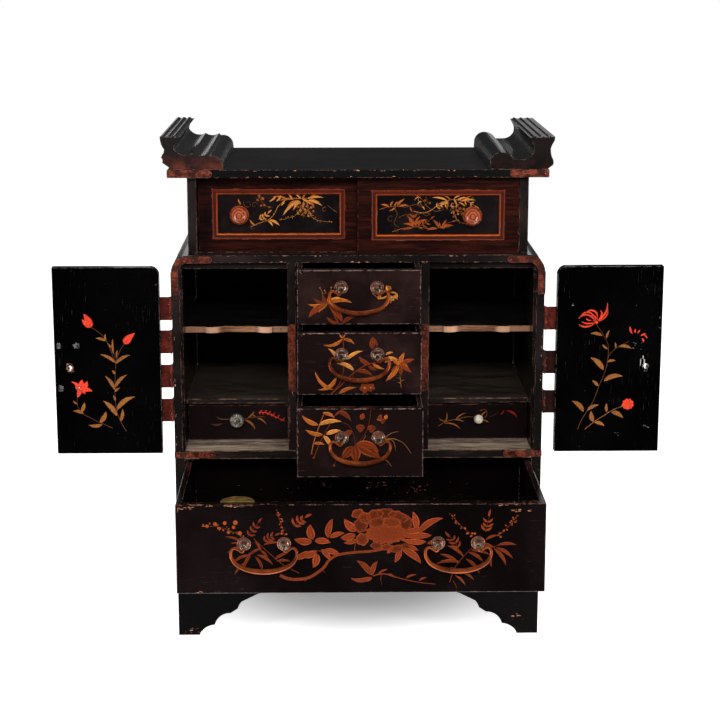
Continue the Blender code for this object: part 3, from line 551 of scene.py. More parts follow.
class Piece:
    """Closed bodies gathered into one mesh. place turns local points into the row frame."""

    def __init__(self, place=None):
        self.bm = bmesh.new()
        self.paint = self.bm.verts.layers.float_color.new("paint")
        self.place = place or Matrix.Identity(4)
        self.shade = (0.8, 0.8, 0.8, 1.0)

    def rings(self, rings, shades=None, loop=False):
        """Joins rings of points into one closed body; a ring of one point is a tip."""
        made = []
        for number, ring in enumerate(rings):
            row = []
            for index, point in enumerate(ring):
                vertex = self.bm.verts.new(self.place @ Vector(point))
                vertex[self.paint] = shades[number][index] if shades else self.shade
                row.append(vertex)
            made.append(row)
        for first, second in zip(made, made[1:] + (made[:1] if loop else [])):
            self.bridge(first, second)
        if not loop:
            if len(made[0]) > 2:
                self.bm.faces.new(made[0][::-1])
            if len(made[-1]) > 2:
                self.bm.faces.new(made[-1])

    def bridge(self, first, second):
        count = max(len(first), len(second))
        for index in range(count):
            corners = [first[index % len(first)], first[(index + 1) % len(first)],
                       second[(index + 1) % len(second)], second[index % len(second)]]
            unique = list(dict.fromkeys(corners))
            if len(unique) > 2:
                self.bm.faces.new(unique)

    def lathe(self, centre, out, profile, steps=32, ripple=None):
        """Turns (radius, height) points round an axis; ripple(angle, index) scales a ring."""
        out = out.normalized()
        side = out.orthogonal().normalized()
        other = out.cross(side)
        rings = []
        for index, (radius, height) in enumerate(profile):
            if radius == 0:
                rings.append([centre + out * height])
                continue
            ring = []
            for angle in turns(steps):
                across, lift = ripple(angle, index) if ripple else (1.0, 0.0)
                way = side * math.cos(angle) + other * math.sin(angle)
                ring.append(centre + way * radius * across + out * (height + lift))
            rings.append(ring)
        self.rings(rings)

    def tube(self, path, sides=14):
        """A round bar through (x, y, z, radius) points, with round ends."""
        points = [Vector(point[:3]) for point in path]
        count = len(points)
        up = None
        rings = []
        for index in range(count):
            along = (points[min(index + 1, count - 1)] - points[max(index - 1, 0)]).normalized()
            up = along.orthogonal() if up is None else up - along * up.dot(along)
            up.normalize()
            other = along.cross(up)
            radius = path[index][3]
            ring = [
                points[index] + (up * math.cos(a) + other * math.sin(a)) * radius
                for a in turns(sides)
            ]
            if index == 0:
                rings.append([points[0] - along * radius])
                rings.append([points[0] - along * radius * 0.7 + (p - points[0]) * 0.7
                              for p in ring])
            rings.append(ring)
            if index == count - 1:
                rings.append([points[-1] + along * radius * 0.7 + (p - points[-1]) * 0.7
                              for p in ring])
                rings.append([points[-1] + along * radius])
        self.rings(rings)

    def plate(self, outline, low, high, view, edge=0.0003, steps=2):
        """An outline given thickness, with rounded rims. view says which plane it is in."""
        outline = anticlockwise([tuple(point) for point in outline])
        turn = {
            "front": lambda a, b, c: (a, c, b),
            "side": lambda a, b, c: (c, a, b),
            "plan": lambda a, b, c: (a, b, c),
        }[view]
        levels = []
        for step in range(steps + 1):
            angle = math.pi / 2 * step / steps
            levels.append((edge * (1 - math.sin(angle)), edge * (1 - math.cos(angle))))
        stack = [(cut, low + rise) for cut, rise in levels]
        stack += [(cut, high - rise) for cut, rise in reversed(levels)]
        self.rings([
            [turn(a, b, height) for a, b in (inset(outline, cut) if cut else outline)]
            for cut, height in stack
        ])

    def sweep(self, low, high, profile, face):
        """A mitred rectangular moulding; profile is (in from the rim, out from face, colour)."""
        rings = []
        shades = []
        for inwards, out, colour in profile:
            rings.append([
                (low[0] + inwards, face - out, low[1] + inwards),
                (high[0] - inwards, face - out, low[1] + inwards),
                (high[0] - inwards, face - out, high[1] - inwards),
                (low[0] + inwards, face - out, high[1] - inwards),
            ])
            shades.append([colour] * 4)
        self.rings(rings, shades, loop=True)

    def nail(self, point, out, radius=0.0008, height=0.00045):
        point = Vector(point)
        self.lathe(point - out.normalized() * 0.0003, out, [
            (0, 0), (radius, 0), (radius, 0.0003), (radius * 0.8, 0.0003 + height * 0.6),
            (radius * 0.4, 0.0003 + height * 0.93), (0, 0.0003 + height),
        ], 12)

    def finish(self, name, material, body, slot, replaces=(), sharp=40):
        bmesh.ops.recalc_face_normals(self.bm, faces=self.bm.faces)
        mesh = bpy.data.meshes.new(name)
        self.bm.to_mesh(mesh)
        self.bm.free()
        mesh.materials.append(material)
        mesh.shade_smooth()
        mesh.set_sharp_from_angle(angle=math.radians(sharp))
        piece = bpy.data.objects.new(name, mesh)
        bpy.context.scene.collection.objects.link(piece)
        weight_normals(piece)
        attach(piece, body)
        if replaces:
            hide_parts(*replaces)
        return piece


def at(x, y, z):
    """A point measured from the carcass's front plane, in the row frame."""
    return Vector((x, y + FRONT_Y, z))


# ---------------------------------------------------------------- the CAD nodes' finish

def smoothing_group():
    """A modifier that smooths the shading of curved faces and keeps the arrises crisp."""
    group = bpy.data.node_groups.new("smooth_curved_faces", "GeometryNodeTree")
    group.interface.new_socket("Geometry", in_out="INPUT", socket_type="NodeSocketGeometry")
    group.interface.new_socket("Geometry", in_out="OUTPUT", socket_type="NodeSocketGeometry")
    source = group.nodes.new("NodeGroupInput")
    result = group.nodes.new("NodeGroupOutput")
    faces = group.nodes.new("GeometryNodeSetShadeSmooth")
    edges = group.nodes.new("GeometryNodeSetShadeSmooth")
    edges.domain = "EDGE"
    angle = group.nodes.new("GeometryNodeInputMeshEdgeAngle")
    gentle = group.nodes.new("FunctionNodeCompare")
    gentle.data_type = "FLOAT"
    gentle.operation = "LESS_THAN"
    gentle.inputs["B"].default_value = math.radians(28)
    group.links.new(angle.outputs["Unsigned Angle"], gentle.inputs["A"])
    group.links.new(source.outputs["Geometry"], faces.inputs["Geometry"])
    group.links.new(faces.outputs["Geometry"], edges.inputs["Geometry"])
    group.links.new(gentle.outputs["Result"], edges.inputs["Shade Smooth"])
    group.links.new(edges.outputs["Geometry"], result.inputs["Geometry"])
    return group


SMOOTHING = smoothing_group()


def dress(node, width, material):
    """A CAD node kept as it is, with its arrises eased and its finish."""
    piece = NODES[node]
    piece.data.materials.clear()
    piece.data.materials.append(M[material])
    piece.modifiers.new("smooth", "NODES").node_group = SMOOTHING
    if width:
        ease = piece.modifiers.new("eased", "BEVEL")
        ease.width = width
        ease.segments = 3
        ease.limit_method = "ANGLE"
        ease.angle_limit = math.radians(50)
    weight_normals(piece)


def dress_nodes():
    for label, across in (("left", (-0.1692, -0.0227)), ("right", (0.0232, 0.1697))):
        depth = FRONT_Y + SLIDE_FACE[label] + PANEL_SINK - 0.0002
        M[f"sliding_{label}"] = frame_lacquer(f"sliding_frame_{label}", across,
                                              (PANEL_Z, 0.5510), depth)
    for names, width, material in (
        ("back_panel upper_back", 0, "inside"), ("base_board", 0.0004, "plinth"),
        ("bay_floor", 0.0006, "floor"), ("plinth_frame", 0.0006, "plinth"),
        ("carcass_top carcass_side_left carcass_side_right", 0.0006, "carcass"),
        ("divider_left divider_right upper_side_left upper_side_right", 0.0006, "carcass"),
        ("door_left door_right", 0.0010, "door"), ("drawer_bottom", 0.0014, "bottom"),
        ("drawer_lower drawer_middle drawer_upper", 0.0020, "drawer"),
        ("drawer_rail_lower drawer_rail_upper", 0.0004, "inside"),
        ("inner_drawer_left inner_drawer_right", 0.0008, "inner"),
        ("inner_drawer_lid_left inner_drawer_lid_right", 0.0005, "lid"),
        ("scroll_end_left", 0.0005, "scroll_brown"), ("scroll_end_right", 0.0005, "scroll_black"),
        ("shelf_left shelf_right", 0.0005, "shelf"), ("sliding_door_left", 0.0004, "sliding_left"),
        ("sliding_door_right", 0.0004, "sliding_right"), ("top_board", 0.0008, "top"),
        ("drawer_catch_plate", 0.0002, "brass"),
    ):
        for node in names.split():
            dress(node, width, material)


# ---------------------------------------------------------------- copper mounts

def rounded_bar(x_low, x_high, z_low, z_high, round_low=False, round_high=False):
    """A strip seen from the front, with either end round."""
    middle = (z_low + z_high) / 2
    radius = (z_high - z_low) / 2
    points = []
    for end, is_round, sign in ((x_high, round_high, 1), (x_low, round_low, -1)):
        if is_round:
            points += [
                (end + sign * radius * (math.cos(a) - 1), middle - sign * radius * math.sin(a))
                for a in (math.pi / 2 - turn for turn in turns(10, math.pi, True))
            ]
        else:
            points += [(end, middle - sign * radius), (end, middle + sign * radius)]
    return points


def front_plate(piece, outline):
    piece.plate(outline, FRONT_Y - 0.0006, FRONT_Y + 0.0001, "front", 0.00025)


def build_mounts():
    """Copper strips nailed over the carcass's corners, dividers, floor and top board."""
    piece = Piece()
    nails = Piece()
    for side, reach in ((-1, 0.1760), (1, 0.1795)):
        outer = HALF + 0.0002
        top = CARCASS_TOP - 0.0014
        r_out = CORNER_R - 0.0008
        wide = 0.0080
        r_in = r_out - wide
        arc_out = [
            (outer - r_out + r_out * math.cos(a), top - r_out + r_out * math.sin(a))
            for a in turns(12, math.pi / 2, True)
        ]
        arc_in = [
            (outer - r_out + r_in * math.cos(a), top - r_out + r_in * math.sin(a))
            for a in reversed(turns(12, math.pi / 2, True))
        ]
        end = [
            (reach + wide / 2 - wide / 2 * math.sin(a), top - wide / 2 + wide / 2 * math.cos(a))
            for a in turns(10, math.pi, True)
        ]
        outline = [(outer, 0.4334)] + arc_out + end + arc_in + [(outer - wide, 0.4334)]
        front_plate(piece, [(side * a, b) for a, b in outline])
        for a, b in ((reach + 0.0042, top - 0.0040), (outer - 0.0040, 0.4375),
                     (outer - 0.0085, top - 0.0080), (reach + 0.022, top - 0.0040),
                     (outer - 0.0040, 0.4560)):
            nails.nail(at(side * a, -0.0005, b), -Y)
        wrap = rounded_bar(-0.0002, 0.0110, 0.4334, CARCASS_TOP - CORNER_R, False, True)
        piece.plate([(a + FRONT_Y, b) for a, b in wrap],
                    *sorted((side * (HALF - 0.0001), side * (HALF + 0.0006))), "side", 0.00025)
        nails.nail((side * (HALF + 0.0005), FRONT_Y + 0.0070, 0.4470), side * X)
    for side in (-1, 1):
        low, high = 0.3135, 0.3969
        a, b = side * 0.0763, side * 0.0846
        cut = 0.0022 * side
        front_plate(piece, [(a, low), (b - cut, low), (b, low + 0.0030), (b, high - 0.0030),
                            (b - cut, high), (a, high)])
        for z in (low + 0.006, 0.3415, 0.3690, high - 0.006):
            nails.nail(at(side * 0.0805, -0.0005, z), -Y)
    for reaches, edge, low, high, nail_z, first, second, last, back, size in (
        ((0.1755, 0.1780), HALF, 0.2300, 0.2375, 0.2338, 0.0040, 0.0200, 0.0050,
         (0.0100, 0.0255), 0.0011),
        ((0.1741, 0.1804), TOP_HALF, 0.5751, 0.5835, 0.5793, 0.0044, 0.0180, 0.0045,
         (0.0080, 0.0250), 0.0010),
    ):
        for side, reach in zip((-1, 1), reaches):
            strip = rounded_bar(reach, edge + 0.0006, low, high, True, False)
            front_plate(piece, [(side * a, b) for a, b in strip])
            for x in (reach + first, reach + second, edge - last):
                nails.nail(at(side * x, -0.0005, nail_z), -Y, size)
            wrap = rounded_bar(-0.0006, 0.0300, low, high, False, True)
            piece.plate([(a + FRONT_Y, b) for a, b in wrap],
                        *sorted((side * (edge - 0.0001), side * (edge + 0.0006))), "side", 0.00025)
            for y in back:
                nails.nail((side * (edge + 0.0005), FRONT_Y + y, nail_z), side * X)
    piece.finish("copper_mounts", M["copper"], "root", "copper")
    nails.finish("mount_nails", M["nail"], "root", "copper")


def build_scroll_flutes():
    """Three low rolls along the top of each roof end's block."""
    for side, label, places, top in ((-1, "left", (0.2322, 0.2252, 0.2180), 0.6230),
                                     (1, "right", (0.2098, 0.2186, 0.2274), 0.6218)):
        piece = Piece()
        for x in places:
            rings = []
            for y, size in ((0.0021, 0.6), (0.0026, 1.0), (DEPTH - 0.0016, 1.0),
                            (DEPTH - 0.0011, 0.6)):
                ring = [(side * x + 0.0028 * size * math.cos(a), FRONT_Y + y,
                         top - 0.0006 + 0.0020 * size * math.sin(a))
                        for a in turns(12, math.pi, True)]
                ring += [(side * x - 0.0026 * size, FRONT_Y + y, top - 0.0014),
                         (side * x + 0.0026 * size, FRONT_Y + y, top - 0.0014)]
                rings.append(ring)
            piece.rings(rings)
        piece.finish(f"scroll_rolls_{label}",
                     M["scroll_brown" if side < 0 else "scroll_black"], "root", "black_lacquer")


def build_corner_fillets():
    """Black fillets in the inner corners, where the boards meet."""
    piece = Piece()
    rear = 0.2490
    for side in (-1, 1):
        for low, high in ((0.2940, 0.3778), (0.3855, 0.4722)):
            for x, turn in ((side * 0.2129, -side), (side * 0.0859, side)):
                piece.plate([(x, FRONT_Y + rear + 0.0012), (x + turn * 0.0022, FRONT_Y + rear),
                             (x + turn * 0.0016, FRONT_Y + rear - 0.0008),
                             (x + turn * 0.0007, FRONT_Y + rear - 0.0017),
                             (x, FRONT_Y + rear - 0.0022)], low, high, "plan", 0.0002)
    piece.finish("corner_fillets", M["inside"], "root", "black_lacquer")


# ---------------------------------------------------------------- hinges

STRAP_HIGH = 0.0285
STRAP_Z = {"left": (0.4170, 0.3760, 0.3335, 0.2910), "right": (0.4038, 0.3494, 0.3000)}
HINGE_X = 0.2268
HINGE_Y = FRONT_Y - 0.0010


def barrel(piece, foot, length):
    piece.lathe(foot, Z, [(0, 0), (0.0013, 0), (0.0016, 0.0003), (0.0016, length - 0.0003),
                          (0.0013, length), (0, length)], 20)


def build_hinges():
    """Each strap lies on the open door's hidden face and rolls round its pin."""
    sixth = STRAP_HIGH / 6
    for side, label in SIDES:
        leaves = Piece()
        rolls = Piece()
        for number, z in enumerate(STRAP_Z[label], 1):
            low, high = z - STRAP_HIGH / 2, z + STRAP_HIGH / 2
            strap = Piece()
            x0, x1, notch = HINGE_X, HINGE_X + 0.0349, HINGE_X + 0.00155
            face = FRONT_Y - 0.0017
            cut = sixth + GAP
            strap.plate([(side * x, height) for x, height in (
                (x0, low), (x1 - 0.0006, low), (x1, low + 0.0006), (x1, high - 0.0006),
                (x1 - 0.0006, high), (x0, high), (x0, z + cut), (notch, z + cut),
                (notch, z - cut), (x0, z - cut))], face, face + 0.0010, "front", 0.0002)
            for part_low, part_high in ((low, z - sixth - GAP), (z + sixth + GAP, high)):
                barrel(strap, Vector((side * HINGE_X, HINGE_Y, part_low)), part_high - part_low)
            for x, dz in ((0.2440, 0.0085), (0.2440, -0.0085), (0.2560, 0.0), (0.2580, 0.0085),
                          (0.2580, -0.0085)):
                strap.nail((side * x, face + 0.0009, z + dz), Y)
            tarnished = label == "right" and number > 1
            strap.finish(f"strap_{label}_{number}", M["strap_dark" if tarnished else "strap"],
                         f"door_{label}", "copper",
                         [f"hinge_strap_{label}_{number}"])
            barrel(rolls, Vector((side * HINGE_X, HINGE_Y, z - sixth)), 2 * sixth)
            rolls.lathe(Vector((side * HINGE_X, HINGE_Y, low - 0.0006)), Z, [
                (0, 0), (0.0007, 0.0001), (0.0010, 0.0005), (0.0007, 0.0007),
                (0.0007, STRAP_HIGH + 0.0005), (0.0010, STRAP_HIGH + 0.0007),
                (0.0007, STRAP_HIGH + 0.0011), (0, STRAP_HIGH + 0.0012)], 12)
            inner = HALF + GAP
            start, end = HINGE_Y + 0.0021, HINGE_Y + 0.0200
            outline = [(start, low), (end, low), (end, high), (start, high), (start, z + sixth),
                       (HINGE_Y, z + sixth), (HINGE_Y, z - sixth), (start, z - sixth)]
            leaves.plate(outline, *sorted((side * inner, side * (inner + 0.0010))), "side", 0.0002)
            for y in (0.0062, 0.0150):
                for dz in (0.0095, 0.0, -0.0095):
                    leaves.nail((side * (inner + 0.0009), HINGE_Y + y, z + dz), side * X)
        rolls.finish(f"knuckles_{label}", M["knuckle"], "root", "copper")
        leaves.finish(f"hinge_leaves_{label}", M["strap"], "root", "copper",
                      [f"hinge_plate_{label}"])


# ---------------------------------------------------------------- bails

RING_DROP = 0.0025
RING_OUT = 0.0052
RING_R = 0.0031
HOOK_R = 0.0023


def bail_line(half_spread, scale):
    """The bail's centre line and wire radius; x across, y back, z up from the pivot."""
    e = half_spread
    s = scale
    half = [
        (e, 0.0003, HOOK_R, 0.00095),
        (e, -HOOK_R * 0.72, HOOK_R * 0.72, 0.00095),
        (e, -HOOK_R, 0, 0.00095),
        (e + 0.0006, -HOOK_R * 0.74, -HOOK_R * 0.78, 0.00095),
        (e + 0.0024, -0.0004, -0.0026, 0.00110),
        (e + 0.0055, 0, -0.0006, 0.00130),
        (e + 0.0090 * s, 0, 0.0020, 0.00150),
        (e + 0.0124 * s, 0, 0.0006, 0.00170),
        (e + 0.0138 * s, 0, -0.0036 * s, 0.00190),
        (e + 0.0126 * s, 0, -0.0096 * s, 0.00215),
        (e + 0.0078 * s, 0, -0.0163 * s, 0.00250),
        (e - 0.0012 * s, 0, -0.0212 * s, 0.00285),
        (e - 0.0112 * s, 0, -0.0238 * s, 0.00310),
        (0, 0, -0.0246 * s, 0.00320),
    ]
    return spline(half + [(-x, y, z, radius) for x, y, z, radius in reversed(half[:-1])], 5)


def build_bail(name, body, centre, half_spread, scale):
    """centre is the middle between the posts, on the drawer's face."""
    pivot = centre - Y * (GAP + RING_OUT) - Z * (RING_DROP + RING_R)
    bail = Piece(Matrix.Translation(pivot))
    bail.tube(bail_line(half_spread, scale), 18)
    bail.finish(f"{name}_grip", M["bail"], name, "bail_copper", [name])
    plates = Piece()
    eyes = Piece()
    for side, label in SIDES:
        foot = centre + X * side * half_spread - Y * GAP

        def petals(angle, index):
            if index not in (3, 4, 5):
                return 1.0, 0.0
            swell = abs(math.cos(8 * angle))
            return 0.97 + 0.05 * swell, -0.00018 * (1 - swell)

        plates.lathe(foot, -Y, [
            (0, 0), (0.0076, 0), (0.0079, 0.0003), (0.0080, 0.0007), (0.0070, 0.0013),
            (0.0058, 0.0015), (0.0054, 0.0012), (0.0047, 0.0013), (0.0044, 0.0020),
            (0.0034, 0.0027), (0.0020, 0.0031), (0, 0.0032),
        ], 64, petals)
        eyes.lathe(foot, -Y, [
            (0, 0.0022), (0.0016, 0.0022), (0.0016, 0.0036), (0.0012, 0.0048), (0, 0.0053),
        ], 20)
        centre_line = foot - Y * RING_OUT - Z * RING_DROP
        rings = []
        for angle in turns(28):
            way = X * math.cos(angle) + Z * math.sin(angle)
            rings.append([
                centre_line + way * (RING_R + 0.0010 * math.cos(b)) - Y * 0.0010 * math.sin(b)
                for b in turns(10)
            ])
        eyes.rings(rings, loop=True)
        eyes.lathe(foot + Z * 0.0001, -Y, [
            (0, 0.0014), (0.0052, 0.0014), (0.0052, 0.0019), (0.0046, 0.0022), (0.0040, 0.0018),
            (0, 0.0018),
        ], 32)
    plates.finish(f"{name}_rosettes", M["rosette"], body, "copper",
                  [f"{name}_post_left", f"{name}_post_right"])
    eyes.finish(f"{name}_eyes", M["eye"], body, "silver")


DRAWERS = {                  # bottom, top, pulled out, post height above the middle
    "upper": (0.4067, 0.4717, 0.0508, 0.0120),
    "middle": (0.3271, 0.4013, 0.0748, 0.0115),
    "lower": (0.2398, 0.3219, 0.1222, 0.0065),
}
BOTTOM_PULL = 0.1860


def build_bails():
    for label, (low, high, pull, rise) in DRAWERS.items():
        build_bail(f"bail_{label}", f"drawer_{label}",
                   at(0, -pull, (low + high) / 2 + rise), 0.0212, 1.0)
    for side, label in SIDES:
        build_bail(f"bail_bottom_{label}", "drawer_bottom",
                   at(side * 0.1105, -BOTTOM_PULL, 0.1800), 0.0228, 1.07)


# ---------------------------------------------------------------- mouldings and knobs

# Moulding step colours: the moulding's own dark and red-orange lacquer, set lighter on the crests
# (painted highlight) and darker in the coves (painted shade)
DARK_BAR = linear(46, 20, 15)
RED_BAR = linear(112, 44, 24)
ORANGE_AND_HIGHLIGHT_BAR = linear(190, 86, 22)


def build_mouldings():
    """A stepped, mitred red moulding round each sliding door's panel, with painted highlight on its
    crests and painted shade in its coves.
    """
    for label, left in (("left", -0.1932), ("right", -0.0008)):
        piece = Piece()
        low = (left + 0.0171, 0.4966)
        high = (left + 0.1945 - 0.0171, 0.5574)
        # crests lighter (painted highlight), coves darker (painted shade)
        bead = [(0.0000, -0.0016, DARK_BAR), (0.0000, 0.0003, DARK_BAR), (0.0002, 0.0007, RED_BAR),
                (0.0007, 0.0010, RED_BAR), (0.0012, 0.0009, RED_BAR), (0.0016, 0.0004, DARK_BAR),
                (0.0019, -0.0004, DARK_BAR), (0.0030, -0.0008, DARK_BAR),
                (0.0042, -0.0006, DARK_BAR), (0.0046, 0.0000, RED_BAR), (0.0051, 0.0003, RED_BAR),
                (0.0056, 0.0001, ORANGE_AND_HIGHLIGHT_BAR), (0.0061, -0.0006, ORANGE_AND_HIGHLIGHT_BAR),
                (0.0066, -0.0018, ORANGE_AND_HIGHLIGHT_BAR), (0.0070, -0.0030, RED_BAR),
                (0.0071, -0.0036, DARK_BAR), (0.0067, -0.0036, DARK_BAR),
                (0.0066, -0.0026, DARK_BAR)]
        piece.sweep(low, high, bead, FRONT_Y + SLIDE_FACE[label])
        piece.finish(f"moulding_{label}", M["moulding"], f"sliding_door_{label}", "moulding_red")


def build_knobs():
    for label, x in (("left", -0.1430), ("right", 0.1370)):
        centre = at(x, SLIDE_FACE[label] + PANEL_SINK - GAP, 0.5272)
        profile = [
            (0, 0), (0.0070, 0), (0.0072, 0.0006), (0.0068, 0.0014), (0.0056, 0.0020),
            (0.0049, 0.0034), (0.0050, 0.0048), (0.0058, 0.0058), (0.0080, 0.0068),
            (0.0100, 0.0082), (0.0112, 0.0100), (0.0117, 0.0120), (0.0115, 0.0140),
            (0.0107, 0.0158), (0.0094, 0.0174), (0.0078, 0.0186), (0.0060, 0.0195),
            (0.0044, 0.0200), (0.0036, 0.0201), (0.0030, 0.0198), (0.0024, 0.0199),
            (0.0014, 0.0202), (0, 0.0203),
        ]
        name = f"knob_wood_{label}"
        M[name] = turned_wood(name, centre)
        knob = Piece()
        knob.lathe(centre, -Y, profile, 56)
        knob.finish(f"wooden_knob_{label}", M[name], f"sliding_door_{label}", "knob_wood",
                    [f"sliding_door_knob_{label}"])

    middle = (INNER_NEAR + INNER_FAR) / 2
    face = at(-middle - 0.0015, INNER_FACE - GAP, 0.2667)

    def petals(angle, index):
        if index < 4 or index > 9:
            return 1.0, 0.0
        swell = abs(math.cos(8 * angle)) ** 0.7
        return 0.90 + 0.10 * swell, -0.0009 * (1 - swell)

    silver = Piece()
    silver.lathe(face, -Y, [
        (0, 0), (0.0044, 0), (0.0044, 0.0012), (0.0026, 0.0030), (0.0034, 0.0064),
        (0.0080, 0.0078), (0.0091, 0.0090), (0.0090, 0.0100), (0.0078, 0.0112),
        (0.0050, 0.0112), (0.0042, 0.0104), (0.0038, 0.0112), (0.0036, 0.0122),
        (0.0028, 0.0131), (0.0014, 0.0135), (0, 0.0136),
    ], 128, petals)
    silver.finish("silver_flower_knob", M["silver"], "inner_drawer_left", "silver",
                  ["inner_drawer_knob_left"])
    face = at(middle + 0.0015, INNER_FACE - GAP, 0.2667)
    bone = Piece()
    bone.lathe(face, -Y, [
        (0, 0), (0.0034, 0), (0.0034, 0.0006), (0.0022, 0.0014), (0.0024, 0.0028),
        (0.0040, 0.0036), (0.0052, 0.0052), (0.0058, 0.0070), (0.0055, 0.0086),
        (0.0046, 0.0100), (0.0034, 0.0109), (0.0026, 0.0112), (0.0022, 0.0110),
        (0.0012, 0.0118), (0, 0.0120),
    ], 40)
    bone.finish("bone_knob", M["ivory"], "inner_drawer_right", "ivory",
                ["inner_drawer_knob_right"])


# ---------------------------------------------------------------- lacquer painting

GOLD = linear(194, 124, 56)
AMBER = linear(158, 84, 30)
BRONZE = linear(142, 88, 42)
RUST = linear(99, 39, 14)
BERRY = linear(142, 66, 26)
EMBER = linear(116, 46, 18)
HATCH = linear(62, 25, 15)
CORAL = linear(212, 60, 38)
CRIMSON = linear(140, 30, 28)
DUSK = linear(92, 52, 34)
PALE = linear(226, 222, 216)
WOOD = linear(206, 142, 108)
PLAIN = (0.62, 1.0, 1.0, 0.55)        # tones of a stroke's rim, sides, ridges and middle
LINED = (1.8, 0.78, 0.84, 1.7)
VEINED = (1.75, 0.58, 0.72, 1.8)
REDS = (CORAL, CRIMSON)


def plane(corner, right, up):
    """Turns millimetres right, up and out from a panel's corner into the row frame."""
    out = right.cross(up)
    return Matrix((
        (right.x * MM, up.x * MM, out.x * MM, corner.x),
        (right.y * MM, up.y * MM, out.y * MM, corner.y),
        (right.z * MM, up.z * MM, out.z * MM, corner.z),
        (0, 0, 0, 1),
    ))


class Painting:
    """Raised strokes on a panel, in millimetres right and up from its lower left corner."""

    def __init__(self, name, body, corner, right, up, seed, tones=PLAIN, slim=0.85):
        place = plane(corner, right, up)
        self.name = name
        self.body = body
        self.random = random.Random(seed)
        self.pieces = {"gold": Piece(place), "red": Piece(place)}
        self.used = set()
        self.lift = 0.0
        self.tones = tones
        self.slim = slim

    def tint(self, colour, amount=0.12):
        factor = 1 + self.random.uniform(-amount, amount)
        return scaled(colour, factor)

    def blade(self, line, widths, colour, height=0.26, vein=0.45, tones=None, tip=1.0):
        """A stroke along a line; widths are half widths, vein the height of its middle."""
        kind = "red" if colour in REDS else "gold"
        self.used.add(kind)
        self.lift = (self.lift + 0.013) % 0.09
        own = self.tint(colour)
        height += self.lift
        rim, body, ridge, middle = tones or (PLAIN if kind == "red" else self.tones)
        count = len(line)
        rings = []
        shades = []
        for index, (x, y) in enumerate(line):
            ax, ay = line[max(index - 1, 0)]
            bx, by = line[min(index + 1, count - 1)]
            length = math.hypot(bx - ax, by - ay) or 1.0
            nx, ny = -(by - ay) / length, (bx - ax) / length
            half = max(widths[index], 0.04)
            flat = min(1.0, half / 0.45)
            fade = 1 + (tip - 1) * index / (count - 1)
            ring = []
            shade = []
            for across, lift, tone in (
                (-1, 0.02, rim), (-0.80, 0.9, rim), (-0.62, 0.95, body), (-0.16, 0.9, ridge),
                (0, vein, middle), (0.16, 0.9, ridge), (0.62, 0.95, body), (0.80, 0.9, rim),
                (1, 0.02, rim), (0.6, None, rim), (-0.6, None, rim),
            ):
                z = -0.12 if lift is None else lift * height * flat
                ring.append((x + nx * half * across, y + ny * half * across, z))
                shade.append(scaled(own, tone * fade))
            rings.append(ring)
            shades.append(shade)
        self.pieces[kind].rings(rings, shades)

    def leaf(self, x, y, tx, ty, width, bend=0.08, colour=GOLD, full=0.75, vein=0.45, tip=1.1):
        """A pointed leaf from its base to its tip; full under 1 sets its widest part low."""
        length = math.hypot(tx - x, ty - y)
        nx, ny = -(ty - y) / length, (tx - x) / length
        width *= self.slim
        line = []
        widths = []
        for step in range(12):
            t = step / 11
            side = bend * length * 4 * t * (1 - t)
            line.append((x + (tx - x) * t + nx * side, y + (ty - y) * t + ny * side))
            widths.append(width / 2 * math.sin(math.pi * min(t ** full, 1.0)) ** 0.85)
        widths[0] = 0.10
        widths[-1] = 0.04
        self.blade(line, widths, colour, vein=vein, tip=tip)

    def leaves(self, colour, *rows, full=0.75, vein=0.45):
        for row in rows:
            self.leaf(*row, colour, full, vein)

    def stem(self, points, first=0.35, last=0.2, colour=BRONZE):
        line = spline(points, 6)
        count = len(line) - 1
        widths = [first + (last - first) * index / count for index in range(count + 1)]
        self.blade(line, widths, colour, height=0.16, vein=1.0, tones=(0.8, 1.0, 1.0, 1.05))

    def stroke(self, points, width, colour):
        """A brush stroke: thick in its middle and pointed at both ends."""
        line = spline(points, 6)
        last = len(line) - 1
        self.blade(line, [0.06 + width / 2 * math.sin(math.pi * (k / last) ** 0.85)
                          for k in range(last + 1)], colour, vein=1.0)

    def dot(self, x, y, radius, colour=GOLD, height=0.3):
        kind = "red" if colour in REDS else "gold"
        self.used.add(kind)
        own = self.tint(colour, 0.2)
        dark = scaled(own, 0.6)
        rings = []
        shades = []
        squash = self.random.uniform(0.8, 1.0)
        for reach, z, shade in ((0.9, -0.12, dark), (1.0, 0.02, dark), (0.75, height * 0.8, own)):
            rings.append([
                (x + radius * reach * math.cos(a), y + radius * reach * squash * math.sin(a), z)
                for a in turns(10)
            ])
            shades.append([shade] * 10)
        rings.append([(x, y, height)])
        shades.append([own])
        self.pieces[kind].rings(rings, shades)

    def ruffle(self, x, y, wide, high, turn, colour, tones=(1.2, 0.66, 0.5), height=0.3):
        """A rounded petal with a scalloped rim; the tones are its rim, body and middle."""
        self.used.add("gold")
        own = self.tint(colour)
        phase = self.random.uniform(0, math.pi)
        lobes = max(5, round((wide + high) / 2.4))
        cosine, sine = math.cos(turn), math.sin(turn)
        rim, body, middle = tones
        steps = 48
        rings = []
        shades = []
        for reach, z, tone in ((0.96, -0.12, rim), (1.0, 0.02, rim), (0.94, height, rim),
                               (0.84, height * 0.94, rim), (0.78, height * 0.86, body),
                               (0.35, height * 0.9, middle)):
            ring = []
            for angle in turns(steps):
                scallop = 0.88 + 0.16 * abs(math.sin(lobes * angle / 2 + phase))
                px = wide * reach * scallop * math.cos(angle)
                py = high * reach * scallop * math.sin(angle)
                ring.append((x + px * cosine - py * sine, y + px * sine + py * cosine, z))
            rings.append(ring)
            shades.append([scaled(own, tone)] * steps)
        rings.append([(x, y, height)])
        shades.append([shades[-1][0]])
        self.pieces["gold"].rings(rings, shades)

